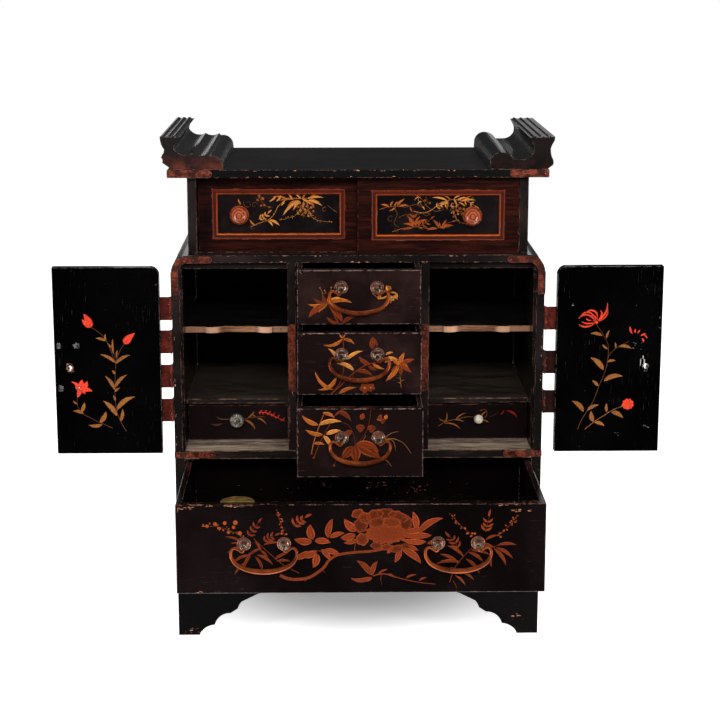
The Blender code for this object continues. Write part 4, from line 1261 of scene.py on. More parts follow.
    def blossom(self, x, y, radius, petals=5, colour=GOLD, heart=RUST, turn=0.3):
        for angle in (turn + step for step in turns(petals)):
            self.leaf(x + 0.12 * radius * math.cos(angle), y + 0.12 * radius * math.sin(angle),
                      x + radius * math.cos(angle), y + radius * math.sin(angle),
                      radius * 0.95, 0.0, colour, 1.15, 0.8)
        self.dot(x, y, radius * 0.24, heart, 0.45)

    def cluster(self, x, y, count, gap):
        """Small flowers packed in a spiral."""
        for number in range(count):
            reach, turn = gap * math.sqrt(number), 2.4 * number
            self.blossom(x + reach * math.cos(turn), y + 0.9 * reach * math.sin(turn), 1.7, 4,
                         (GOLD, AMBER)[number % 2], BRONZE, turn)

    def spray(self, *rows):
        """Narrow leaves, each with its own colour, bent to the side that they point to."""
        for x, y, tx, ty, width, colour in rows:
            self.leaf(x, y, tx, ty, width * 0.78, 0.08 if tx > x else -0.08, colour)

    def raceme(self, points, count, first, last, colour=GOLD, spread=1.0):
        """Small buds scattered along a curve, changing size and spread towards its end."""
        self.stem(points, 0.16, 0.10, colour)
        line = spline(points, 24)
        chance = self.random
        for index in range(count):
            t = index / max(count - 1, 1)
            place = int(t * (len(line) - 2))
            x, y = line[place]
            size = first + (last - first) * t
            for _ in range(chance.choice((1, 2, 2, 3))):
                turn = chance.uniform(0, 2 * math.pi)
                reach = spread * (1.15 - 0.6 * t) * chance.uniform(0.3, 1.0)
                bx, by = x + reach * math.cos(turn), y + reach * math.sin(turn)
                half = size * chance.uniform(0.55, 0.95)
                tx, ty = bx + 1.9 * half * math.cos(turn), by + 1.9 * half * math.sin(turn)
                self.leaf(bx, by, tx, ty, half * 1.5, 0.0, colour, 1.1, 0.9)

    def sprig(self, points, pairs, length, width, colour, bare=0.15, lean=0.9, tip_leaf=True):
        """A stem with narrow leaves in pairs, pointing towards its tip."""
        self.stem(points, 0.28, 0.14, colour)
        line = spline(points, 24)
        last = len(line) - 1
        for index in range(pairs):
            t = bare + (0.95 - bare) * index / max(pairs, 1)
            x, y = line[int(t * last)]
            ax, ay = line[min(int(t * last) + 4, last)]
            way = math.atan2(ay - y, ax - x)
            for side in (-1, 1):
                angle = way + side * lean * self.random.uniform(0.75, 1.15)
                reach = length * self.random.uniform(0.75, 1.1) * (1 - 0.25 * t)
                self.leaf(x, y, x + reach * math.cos(angle), y + reach * math.sin(angle),
                          width, 0.10 * side, colour)
        if tip_leaf:
            x, y = line[-1]
            ax, ay = line[-4]
            way = math.atan2(y - ay, x - ax)
            self.leaf(x, y, x + length * math.cos(way), y + length * math.sin(way), width, 0.05,
                      colour)

    def curl(self, x, y, radius, start, turns, colour=BRONZE):
        """A thin tendril winding inwards."""
        points = []
        for step in range(10):
            t = step / 9
            angle = start + 2 * math.pi * turns * t
            reach = radius * (1 - 0.75 * t)
            points.append((x + reach * math.cos(angle), y + reach * math.sin(angle)))
        self.stem(points, 0.16, 0.10, colour)

    def finish(self):
        for kind, piece in self.pieces.items():
            if kind in self.used:
                piece.finish(f"{self.name}_{kind}", M[kind], self.body, f"{kind}_paint", sharp=60)
            else:
                piece.bm.free()


def paint_left_door():
    p = Painting("left_door_plants", "door_left", at(-DOOR_OUT, DOOR_FACE, BAY_Z),
                 X, Z, 11, slim=0.82)
    p.stem([(84, 28), (78, 39), (73, 54), (71.5, 76), (72.5, 99), (73.4, 114), (71, 128)], .42, .22,
           DUSK)
    p.stem([(73.2, 112), (68, 128), (62, 142), (54, 151), (45, 157)], 0.35, 0.25, DUSK)
    p.stem([(73.2, 112), (76, 121), (80, 130), (84, 136)], 0.35, 0.25, DUSK)
    p.stem([(67, 32), (58, 36.5), (49, 40.5), (39, 46), (31, 51), (25.5, 61), (26.5, 72)], .4, .25,
           DUSK)
    p.leaves(
        BRONZE,
        (71, 124, 70.8, 143, 3.4, 0.04), (73.4, 113, 55, 123.6, 5, -0.08),
        (73.6, 112, 91, 122.6, 5.2, 0.1), (74.5, 119, 76, 129, 2.8, 0.05),
        (62, 140, 50, 143.5, 4, -0.08), (62.5, 140, 62, 149, 3, 0.08),
        (68, 131, 64, 137, 2.8, -0.1), (71.8, 79, 60, 97, 5.4, -0.07),
        (71.6, 82, 87, 98.5, 5.6, 0.1), (71.6, 77, 78, 82, 3.2, 0.1),
        (72.6, 99, 69, 104, 3.6, 0), (71.5, 66, 69, 73, 3.4, -0.1),
        (73.2, 47, 57, 66, 7.6, -0.08), (73, 54, 96, 71, 7.4, 0.13),
        (77, 40.5, 80, 56, 5.4, -0.08), (52, 39, 60, 53, 7.2, -0.1),
        (55, 36.6, 38.5, 36, 5.6, 0.1), (33, 49.8, 20, 53.5, 5, -0.1),
        (30, 52, 34.5, 64.5, 5.6, -0.06), (26, 62, 20.6, 67, 2.6, 0.1), full=0.8)
    p.leaf(44.6, 156.5, 36.6, 173.4, 11.5, -0.05, CORAL, 0.62, 1)
    p.leaf(44, 157, 34.5, 167, 7.5, 0.05, CORAL, 0.7, 1)
    p.leaf(44.8, 157.5, 42.5, 168, 6.5, -0.05, CORAL, 0.7, 1)
    p.leaf(84, 136.5, 97.5, 149.5, 10.5, 0.05, CORAL, 0.62, 1)
    p.leaf(84.4, 136.8, 93.5, 142.8, 6, -0.05, CORAL, 0.7, 1)
    p.leaves(
        CORAL,
        (32, 79, 19, 90, 4.6, -0.1), (30, 79, 24.5, 87.5, 9, 0),
        (31, 79, 32.5, 92.5, 9, 0.05), (32, 79, 38.5, 90.5, 8, -0.05),
        (31, 80, 44.5, 78, 6.4, 0.08), (30, 84, 26, 70, 7, 0.04),
        (31, 83, 35.5, 74.5, 7.5, 0), full=0.85, vein=1)
    p.dot(28.6, 82.6, 1.9, DUSK, 0.5)
    p.dot(28.6, 82.6, 1, linear(236, 220, 200), 0.58)
    p.finish()


def build_nail_marks():
    """Three ragged nail heads on the left door's inner face."""
    marks = Piece()
    rough = random.Random(5)
    for x, z, size in ((-0.361, 0.3742, 0.0034), (-0.3395, 0.3741, 0.004),
                       (-0.3597, 0.3215, 0.0035)):
        lumps = [rough.uniform(0.75, 1.15) for _ in range(15)]

        def ragged(angle, index):
            return lumps[int(angle / (2 * math.pi) * 15) % 15], 0.0

        marks.lathe(at(x, -0.0139, z), -Y, [
            (0, 0), (size, 0), (size, 0.0002), (size * 0.8, 0.0006), (size * 0.55, 0.0004),
            (size * 0.42, 0.0008), (size * 0.2, 0.001), (0, 0.001)], 30, ragged)
    marks.finish("left_door_nail_marks", M["iron"], "door_left", "silver")


def paint_right_door():
    p = Painting("right_door_plants", "door_right", at(DOOR_IN, DOOR_FACE, BAY_Z),
                 X, Z, 12, slim=0.82)
    p.stem([(28.5, 28), (33, 40), (40, 51.5), (47, 64), (52.8, 81), (59, 97), (62.4, 111),
            (63.2, 131), (58, 143), (48, 158.5)], 0.45, 0.25, DUSK)
    p.stem([(62.8, 117), (68, 125), (76, 131), (88, 137.5)], 0.32, 0.2, DUSK)
    p.stem([(37.3, 28), (50, 38.5), (60, 45), (68, 50.5), (76, 54.5), (84, 56.5)], 0.45, 0.25,
           BRONZE)
    p.leaves(
        BRONZE,
        (55.6, 144.5, 41, 147, 5, -0.1), (60.4, 141, 64, 151.5, 3.6, 0.05),
        (62.6, 128, 56, 134, 3.6, 0.08), (75.5, 131, 91.5, 128.3, 4.8, 0.12),
        (72.5, 129, 71.5, 136, 2.8, 0), (57.8, 102, 42, 117.5, 8, -0.1),
        (62.4, 112, 72.5, 113.5, 4.2, 0.1), (59, 88, 82, 94, 7.4, 0.14),
        (52.2, 82, 44.8, 89, 4.8, -0.05), (35, 50, 20.5, 63.5, 7.4, -0.12),
        (39.5, 51.5, 54, 58.5, 5.2, 0.1), (47.8, 37.5, 44.8, 51, 7.2, 0.1),
        (63.5, 49.5, 63, 60.5, 4.4, 0.04), (69, 49.5, 83.5, 41.8, 7, 0.12),
        (48.8, 36.5, 61, 32, 5.6, 0.12), full=0.8)
    for width, *points in (
        (2.4, (26, 165.4), (31.7, 169.8), (38.3, 169.8), (44.9, 164.8), (46.9, 160.2)),
        (2.2, (26.9, 158.3), (32.3, 155.7), (39.8, 156.3), (46.9, 160.2)),
        (1.9, (29.9, 161.6), (35.3, 159.5), (41.9, 159.8), (46.6, 161)),
        (1.9, (28.4, 168.8), (34, 173), (40.5, 172.6), (46, 166.8), (47.6, 161.5)),
        (2.2, (36.4, 174.6), (42.8, 175.6), (48.2, 171.6), (48.9, 163)),
        (1.9, (39.8, 166.8), (43.7, 169.4), (46.7, 167.2), (46.3, 163.2), (42.9, 162.8)),
        (1.8, (35, 166), (38.5, 163.4), (42, 163.6)),
        (2, (49.3, 162), (53, 167.2), (54.2, 172.6), (51.8, 176)),
        (2.4, (50, 162.4), (55.7, 168.4), (60, 176.2), (60.8, 185.6)),
        (1.8, (50.6, 161.8), (56.9, 165.8), (60.8, 171), (61.4, 177))):
        p.stroke(points, width, CORAL)
    p.dot(48, 160.8, 1.8, CORAL, 0.4)
    p.leaves(
        CORAL,
        (92, 146.5, 88.8, 156, 3.2, 0.1), (95, 147.5, 96, 152.8, 2.6, 0.1),
        (98, 147, 101, 152, 2.6, 0), (102, 144, 108.5, 146.5, 3, 0.1),
        (103.5, 141, 105.5, 136, 3, 0.15), (105, 146, 110, 140.5, 2.4, 0.1),
        full=0.9, vein=1)
    for angle in (0.4 + step for step in turns(9)):
        p.leaf(89.0 + 1.0 * math.cos(angle), 59.3 + 1.0 * math.sin(angle),
               89.0 + 7.4 * math.cos(angle), 59.3 + 7.2 * math.sin(angle),
               7, 0.05, CORAL, 1.2, 1)
    p.dot(89, 59.3, 3.2, CORAL, 0.42)
    p.leaf(80.5, 56, 86.5, 58, 3.6, 0.1, BRONZE)
    p.finish()


def drawer_painting(label, seed, slim):
    low, _, pull, _ = DRAWERS[label]
    return Painting(f"{label}_drawer_plants", f"drawer_{label}", at(-DRAWER_HALF, -pull, low),
                    X, Z, seed, VEINED, slim)


def paint_upper_drawer():
    p = drawer_painting("upper", 21, 0.72)
    hub = (36.5, 25)
    for tx, ty, width, bend, colour in (
        (12.8, 24.6, 6, 0.1, AMBER), (18.5, 32.6, 4.6, 0.12, RUST),
        (13.6, 8.4, 9.4, -0.1, EMBER), (30, 36, 6.6, 0.1, RUST),
        (52.6, 3, 11, 0.1, EMBER), (64.8, 26, 6.4, 0.14, AMBER),
        (51, 32.5, 7, 0.06, GOLD), (38.5, 37, 6, -0.05, AMBER),
        (58, 18.5, 5, -0.12, RUST), (25.5, 14, 7.4, -0.14, AMBER)):
        p.leaf(hub[0], hub[1], tx, ty, width, bend, colour, 0.85)
    for x, y, tx, ty in ((30, 36, 27, 44), (33, 37, 32.5, 41), (38, 37, 40.5, 44.5)):
        p.stem([(x, y), ((x + tx) / 2 + 0.8, (y + ty) / 2), (tx, ty)], 0.22, 0.12, GOLD)
        p.dot(tx, ty, 0.7, GOLD)
    p.stem([(47.5, 0.8), (44.5, 9), (38, 22)], 0.5, 0.4, RUST)
    p.stem([(54.3, 0.8), (53, 9), (50, 17)], 0.4, 0.3, RUST)
    p.leaves(RUST, (48.5, 1.2, 35, 9.4, 5.4, 0.14), (54.5, 1.2, 69, 9.2, 6.2, 0.14),
             (49.5, 1.5, 44, 13, 4, 0.06))
    for x, y, radius, colour in ((112, 31, 3.6, GOLD), (108.6, 43.6, 3, AMBER),
                                 (97, 32.5, 2.8, GOLD), (117, 34, 2.4, GOLD)):
        p.blossom(x, y, radius, 5, colour, RUST, 0.4 + x)
    p.leaves(GOLD, (106, 34, 98, 31, 2.6, 0.1), (108, 38, 105.5, 47, 3.4, 0.1),
             (112, 34, 118.6, 29.6, 2.8, 0.1), (110, 38, 119, 36, 2.4, 0.1),
             (110, 35, 110, 25, 2.4, 0.1))
    p.stem([(88, 38), (95, 33), (103, 33), (112, 40), (118, 33)], 0.2, 0.12, GOLD)
    p.finish()


def paint_middle_drawer():
    p = drawer_painting("middle", 22, 0.72)
    p.stem([(53.5, 73), (54.5, 62), (54, 48), (54.5, 30), (50, 14), (40, 1)],
           0.35, 0.5, RUST)
    p.leaves(AMBER, (53.5, 67.5, 30.5, 60, 5.2, 0.16), (54.2, 66.5, 67.2, 60.8, 5, 0.14),
             (53.6, 68, 50, 73.2, 2.6, 0.1), (54, 68, 56.8, 73, 2.4, 0))
    p.leaves(GOLD, (47.5, 42.5, 36, 56, 5, -0.1), (58.5, 42.5, 77, 52.5, 5.6, 0.1),
             (66.5, 29, 46, 37.5, 6.4, -0.14))
    p.stem([(40, 0.8), (54, 14), (69, 28.5), (85, 37), (103, 40), (112, 37)],
           0.55, 0.3, EMBER)
    p.stem([(66, 25.5), (63, 15), (60.5, 6)], 0.3, 0.2, RUST)
    p.leaves(RUST, (86, 36.5, 72.5, 46.5, 6.8, 0.12), (84, 35, 93.5, 30, 5, -0.1),
             (70, 28, 88.5, 22.5, 6.6, 0.14), (88.5, 55, 89.5, 70, 8.2, 0.06),
             (94, 58, 88.5, 69, 4.6, -0.06))
    p.leaves(AMBER, (46, 21, 24, 6, 6.4, 0.18), (42, 6, 21, 28.5, 5.4, 0.14),
             (49, 1, 69.5, 8.6, 5.8, 0.1), (88.5, 38, 103, 31, 4.8, -0.1))
    p.leaves(GOLD, (104, 48, 113, 50.8, 3.6, 0.1), (103.5, 41.5, 118.5, 42, 7.2, 0.1),
             (103, 39, 108.5, 46.5, 4.4, -0.1))
    hub = (120, 36)
    for tx, ty, width, colour in (
        (137.8, 42.4, 7, EMBER), (126.2, 50.6, 6.6, AMBER), (134.2, 26.4, 7, EMBER),
        (112, 44, 5.8, AMBER), (104, 16.2, 7.6, AMBER), (122, 22, 5.8, RUST),
        (130.5, 34, 4.8, AMBER), (110, 29, 5.6, EMBER)):
        p.leaf(hub[0], hub[1], tx, ty, width, 0.05, colour, 0.85)
    for x, y, radius in ((79.5, 8, 6.6), (86.5, 8.6, 5.4)):
        p.blossom(x, y, radius, 5, EMBER, GOLD, 0.9)
    for x, y, tx, ty in ((121, 22, 122.5, 8), (121.8, 16, 126.5, 17.5),
                         (122, 13, 118, 15), (122.2, 18.5, 117.5, 20)):
        p.stem([(x, y), ((x + tx) / 2, (y + ty) / 2 + 0.6), (tx, ty)], 0.2, 0.12, GOLD)
    p.finish()


def paint_lower_drawer():
    p = drawer_painting("lower", 23, 0.76)
    p.stem([(17, 30), (20, 44), (26, 62), (31, 75)], 0.5, 0.35, AMBER)
    p.stem([(19.8, 24), (25, 38), (33.5, 55), (44, 74)], 0.45, 0.3, RUST)
    p.dot(16.8, 28.5, 1.3, EMBER)
    p.dot(19.4, 23.6, 1.3, EMBER)
    p.leaves(AMBER, (24.8, 63, 6.2, 74.2, 6.8, 0.1), (30, 51.4, 9.8, 57.6, 6.4, 0.1),
             (19.6, 40.2, 32, 39.2, 4.6, 0.1), (30, 77, 44, 71.2, 5.4, 0.1))
    p.leaves(GOLD, (25.6, 62.8, 52, 66.6, 6.8, 0.1), (34, 51.6, 50.8, 56.2, 6.4, 0.06),
             (30.4, 50, 38.6, 34.8, 6.2, 0.12))
    p.leaves(RUST, (47.5, 79, 62.4, 67.6, 7, 0.12), (44, 74, 50, 79, 3.4, 0))
    p.stem([(52, 66), (60, 62), (66, 50), (68, 36)], 0.25, 0.2, RUST)
    p.stem([(66, 36), (74, 45), (81, 56), (84.5, 70), (85.5, 81)], 0.3, 0.2, RUST)
    p.stem([(69, 34), (75, 42), (80, 50)], 0.25, 0.18, BRONZE)
    for x, y, tx, ty, width in ((64, 37, 51.8, 22.6, 13.5), (66.5, 38, 67.8, 16.6, 15),
                                (70, 38, 96.4, 22.6, 18)):
        p.leaf(x, y, tx, ty, width, 0.05, RUST, 0.72, 0.5)
        length = math.hypot(tx - x, ty - y)
        for part in range(1, 6):
            t = part / 7
            bx, by = x + (tx - x) * t, y + (ty - y) * t
            for side in (-1, 1):
                nx, ny = -(ty - y) / length * side, (tx - x) / length * side
                reach = width * 0.36 * math.sin(math.pi * t ** 0.72)
                p.stem([(bx, by), (bx + nx * reach * 0.6 + (tx - x) * 0.07,
                                   by + ny * reach * 0.6 + (ty - y) * 0.07),
                        (bx + nx * reach + (tx - x) * 0.1, by + ny * reach + (ty - y) * 0.1)],
                       0.16, 0.1, AMBER)
    p.leaf(68, 39, 95, 30, 11, 0.16, EMBER, 0.8, 0.5)
    for x, y, radius in ((73.5, 59, 5.4), (86.5, 58, 5.4), (60, 53.2, 4.4)):
        for tx, ty in ((-0.9, 0.35), (0.9, 0.35), (0, -0.95), (0, 0.9)):
            p.leaf(x, y, x + tx * radius, y + ty * radius, radius * 1.25, 0, RUST, 1.1, 0.4)
        p.stem([(x - radius * 0.8, y + 0.4), (x, y - 0.4), (x + radius * 0.8, y + 0.4)],
               0.14, 0.1, AMBER)
    for x, y, radius, colour in ((76.5, 72.4, 3.8, EMBER), (97, 71.6, 3.2, EMBER),
                                 (103.6, 71.8, 2.8, AMBER), (100, 67, 3.2, RUST)):
        p.leaf(x - radius * 0.4, y - radius, x + radius * 0.2, y + radius * 1.1, radius * 1.9, 0.05,
               colour, 0.9, 0.5)
    p.stem([(92.5, 69.5), (96, 68), (101, 69)], 0.25, 0.2, GOLD)
    for line in (
        [(101, 44), (106, 50.5), (112, 53.5), (118, 54.6)],
        [(102, 45), (112, 46), (124, 40), (132.4, 28)],
        [(102, 44), (110, 44.5), (113.5, 38), (114.6, 31)],
        [(96, 24), (104, 20), (110, 13)],
    ):
        p.stem(line, 0.42, 0.12, BRONZE)
    p.dot(42.8, 14, 1.5, RUST)
    p.stem([(42.8, 14), (45, 19), (51, 25)], 0.22, 0.18, RUST)
    p.finish()


def paint_bottom_drawer():
    p = Painting("bottom_drawer_plants", "drawer_bottom", at(-BOTTOM_HALF, -BOTTOM_PULL, BOTTOM_Z),
                 X, Z, 31, LINED)
    p.stem([(118, 21.5), (127, 17.5), (137, 16.5), (149, 18), (158, 22.5), (168, 30.5),
            (174, 39), (184, 45.5), (203, 48.5), (224, 50), (243, 54)], 1.9, 1.4, EMBER)
    p.stem([(160, 24), (166, 27), (170, 24)], 0.6, 0.2, RUST)
    p.stem([(150, 17.5), (146, 14)], 0.5, 0.2, RUST)
    p.stem([(177, 42), (170, 48), (160, 51), (150, 50)], 0.5, 0.3, RUST)
    p.stem([(203, 48.5), (204, 58), (208, 66)], 0.5, 0.4, RUST)
    for x, y, tx, ty, width in (
        (155, 62, 134.5, 64.8, 10), (156, 64, 153, 82, 11), (158, 62, 176, 60, 9),
        (173, 66, 178.5, 88.5, 9), (175, 66, 192, 71.5, 7), (168, 51, 187, 45, 8),
        (160, 50, 142, 44, 9), (160, 47, 156, 30.5, 10), (150, 50, 134, 41, 8),
        (165, 52, 176, 38.5, 7),
        (206, 74, 191.5, 88.5, 11), (204, 70, 187, 66, 10), (207, 64, 190.5, 60, 6)):
        p.leaf(x, y, tx, ty, width, 0.08, EMBER, 0.8)
    p.leaves(
        EMBER,
        (273, 75, 269, 96.5, 9, -0.08), (276, 71, 304, 88.5, 9, 0.12),
        (255, 53, 249, 36, 8, 0.06), (257, 52, 279, 34.5, 10, 0.1),
        (258, 54, 276, 50, 7, 0.1), (246, 55, 240, 47, 6, 0.05),
        (286, 58, 300, 61, 5, 0.08), full=0.8)
    p.leaves(
        RUST,
        (222, 21, 205.5, 38.5, 8, -0.1), (223, 21, 229.5, 38, 7, 0.1),
        (221, 19, 198.5, 18, 6, 0.16), (223, 19, 214, 14, 4, 0.1),
        (240, 22, 250, 17.5, 3, 0.1), (262, 17, 274, 21.5, 3, 0.1),
        (277, 14, 286, 18, 3, 0.1), (230, 22, 241, 28, 3, 0.1))
    p.stem([(224, 20.5), (238, 22.5), (256, 17), (275, 12.5), (296, 9.8)], 0.8, 0.35, RUST)
    p.stem([(234, 22), (233, 15), (235, 9)], 0.3, 0.15, RUST)

    # peony: ruffled petals behind, a hatched bowl, long low petals to the right
    for x, y, wide, high, turn, colour in (
        (207, 94.5, 7.4, 5.4, 0.3, EMBER), (215, 89.5, 8, 6.8, -0.5, EMBER),
        (210, 80.5, 8, 8.6, 0.2, RUST), (226, 92.5, 11, 6.6, 0.3, EMBER),
        (239, 94.5, 12, 6, 0, RUST), (252.5, 90.5, 12.5, 6.6, -0.35, EMBER),
        (261, 82.5, 7.6, 9.6, -0.3, RUST),
        (212, 64, 7, 7.6, 0.2, EMBER), (228, 56.5, 7, 4.2, 0, RUST),
        (240, 54.5, 7.6, 4, 0, EMBER), (251.5, 52.5, 7.4, 4.6, 0.2, EMBER),
        (262, 55, 6.6, 4, 0, RUST)):
        p.ruffle(x, y, wide, high, turn, colour)
    for tx, ty, width, bend in ((284, 75, 8, 0.08), (291, 68, 8.5, 0.02),
                                (285, 60.5, 8, -0.06)):
        p.leaf(250, 66, tx, ty, width, bend, EMBER, 1.7, 0.85, 1.15)
    p.ruffle(239, 71.5, 23.5, 13, 0, EMBER, (1, 0.86, 0.8), 0.4)
    p.ruffle(229, 84, 9.6, 6, 0.2, EMBER, (1.15, 0.7, 0.6), 0.46)
    p.ruffle(245.5, 84, 11, 6.2, -0.1, EMBER, (1.15, 0.7, 0.6), 0.46)
    for number in range(-6, 7):
        line = spline([(239 + 1.4 * number, 60.5), (239 + 2.7 * number, 69),
                       (239 + 3.1 * number, 78)], 4)
        p.blade(line, [0.26] * len(line), HATCH, 0.46, 1, (1, 1, 1, 1))

    # racemes and narrow leaves at both sides
    p.raceme([(34, 80), (46, 80), (60, 76), (76, 68)], 12, 1.5, 1.1, BERRY, 2.4)
    for x, y, size in ((36, 80.5, 2.2), (45, 83, 2.4), (56, 84, 2.4), (68, 84.5, 3),
                       (60, 73, 2), (73, 72, 2.6), (50, 77.5, 2), (66, 79, 2.2)):
        p.blossom(x, y, size, 5, BERRY, AMBER, x)
    p.raceme([(116, 97), (118, 88), (121, 79), (124, 68)], 9, 1.1, 1.9, BERRY, 2.2)
    p.raceme([(313, 93), (320, 84), (328, 76), (338, 68)], 9, 1.1, 2.1, BERRY, 2.4)
    p.raceme([(388, 93), (384, 85), (377, 77), (368, 68)], 9, 1.1, 2.1, BERRY, 2.4)
    p.sprig([(134, 80), (140, 86), (147, 90)], 3, 9, 3.2, EMBER)
    p.sprig([(82, 68), (88, 76), (94, 84)], 3, 8, 2.8, RUST)
    p.sprig([(100, 62), (106, 66), (113, 69)], 3, 8, 2.8, RUST)
    p.sprig([(352, 72), (354, 80), (356, 90)], 3, 9, 3, EMBER)
    p.sprig([(322, 52), (317, 60), (312, 66)], 3, 9, 3, RUST)
    p.stem([(140, 24), (122, 34), (104, 50), (88, 66)], 0.4, 0.3, RUST)
    p.stem([(312, 12), (318, 30), (332, 48), (346, 62)], 0.4, 0.3, RUST)
    p.stem([(316, 14), (319, 8), (320, 5)], 0.3, 0.2, RUST)
    for x, y, tx, ty, width in (
        (78, 56, 58, 48, 4.5), (79, 57, 62, 60, 4), (84, 46, 64, 36, 5), (85, 45, 76, 26, 5),
        (90, 44, 98, 26, 5), (92, 46, 110, 34, 5), (96, 52, 104, 40, 4.2), (98, 54, 78, 40, 4.6),
        (100, 58, 118, 60, 4.4), (76, 60, 56, 68, 4), (82, 38, 66, 22, 4.2), (90, 62, 96, 50, 4),
        (112, 40, 128, 48, 5), (114, 38, 130, 38, 4.4),
        (322, 34, 300, 46, 5.6), (324, 36, 296, 34, 5.6), (328, 42, 308, 56, 5),
        (333, 48, 350, 36, 5.6), (336, 50, 358, 44, 5.4), (330, 40, 346, 22, 5.6),
        (342, 58, 364, 52, 5), (320, 28, 302, 24, 4.6), (322, 26, 340, 14, 4.6),
        (362, 52, 376, 32, 6), (364, 53, 384, 40, 6), (366, 56, 388, 56, 5.4),
        (360, 50, 360, 30, 5.4), (318, 20, 330, 8, 3.8), (352, 62, 368, 68, 4.2)):
        p.leaf(x, y, tx, ty, width * 0.78, 0.1 if tx > x else -0.1, RUST, 0.85)
    p.stem([(346, 58), (356, 54), (368, 56), (378, 60)], 0.35, 0.25, RUST)
    p.finish()


def panel_painting(label, x, seed, slim):
    corner = at(x, SLIDE_FACE[label] + PANEL_SINK, PANEL_Z)
    return Painting(f"{label}_panel_plants", f"sliding_door_{label}", corner, X, Z, seed,
                    slim=slim)


def paint_left_panel():
    p = panel_painting("left", -0.1692, 41, 0.78)
    p.spray(
        (98, 40, 78, 20.5, 6.4, GOLD), (99, 39, 91, 27.5, 5.2, GOLD),
        (92, 41, 73, 39, 4.6, AMBER), (84, 41, 66, 44.6, 4.6, AMBER),
        (102, 41, 113, 34.5, 4.8, GOLD), (108, 40, 126, 33, 5.6, GOLD),
        (108, 42, 127.5, 43, 5.2, GOLD), (100, 42, 94, 46.5, 3.8, GOLD),
        (102, 42, 106, 46.8, 3.6, AMBER), (110, 42, 118, 46.6, 3.4, AMBER),
        (90, 41, 85, 46.6, 3.6, GOLD), (96, 40, 84, 33, 4.4, AMBER),
        (104, 39, 104, 30, 4, AMBER), (112, 38, 116, 30, 4, AMBER))
    p.stem([(40, 8), (52, 13), (62, 17), (68, 24), (74, 34), (86, 42), (100, 42), (112, 42),
            (122, 38)], 0.35, 0.25, GOLD)
    p.raceme([(104, 37), (99, 29), (94, 22), (84, 18), (74, 16)], 12, 1.25, 0.7, GOLD, 1.8)
    p.cluster(105, 28.5, 15, 2.9)
    p.leaves(GOLD, (70, 45.5, 61.5, 38.5, 3.4, 0.1), (76, 46, 70, 38.5, 3.2, 0.1),
             (88, 33, 80, 27, 3.2, 0.1), (80, 40, 75.5, 33, 3, 0.1))
    p.raceme([(108, 37), (109, 28), (113, 20), (122, 15), (138, 13)], 15, 1.25, 0.6, GOLD, 1.8)
    p.raceme([(100, 34), (101, 27), (103, 21)], 5, 1.2, 0.9, AMBER, 2.4)
    for x, y, size in ((50, 45.2, 2.2), (54, 42, 2.2), (48, 40.5, 1.8), (56, 34, 1.8),
                       (62, 31.5, 1.5), (52, 33.5, 1.5)):
        p.blossom(x, y, size, 4, AMBER, GOLD, x)
    p.stem([(49, 46), (53, 38), (58, 33), (66, 31)], 0.2, 0.15, AMBER)
    p.sprig([(49, 17), (55, 20), (60, 24)], 3, 6.5, 2.8, GOLD)
    p.leaves(GOLD, (62, 16, 74, 9, 4.4, 0.1), (60, 15, 66, 8, 3, 0.1),
             (44, 10, 38, 17, 2.6, 0.1))
    p.curl(42, 7, 5, 0.5, 0.8, BRONZE)
    p.curl(36, 36, 5.5, 2.6, 1, BRONZE)
    p.curl(44, 34, 4.2, 0.2, 0.9, BRONZE)
    p.leaf(28, 35, 24.5, 42, 3, 0.1, AMBER)
    p.curl(129, 28, 3.6, 1.2, 0.7, BRONZE)
    p.stem([(132, 34), (138, 29), (144, 25)], 0.15, 0.1, BRONZE)
    p.finish()


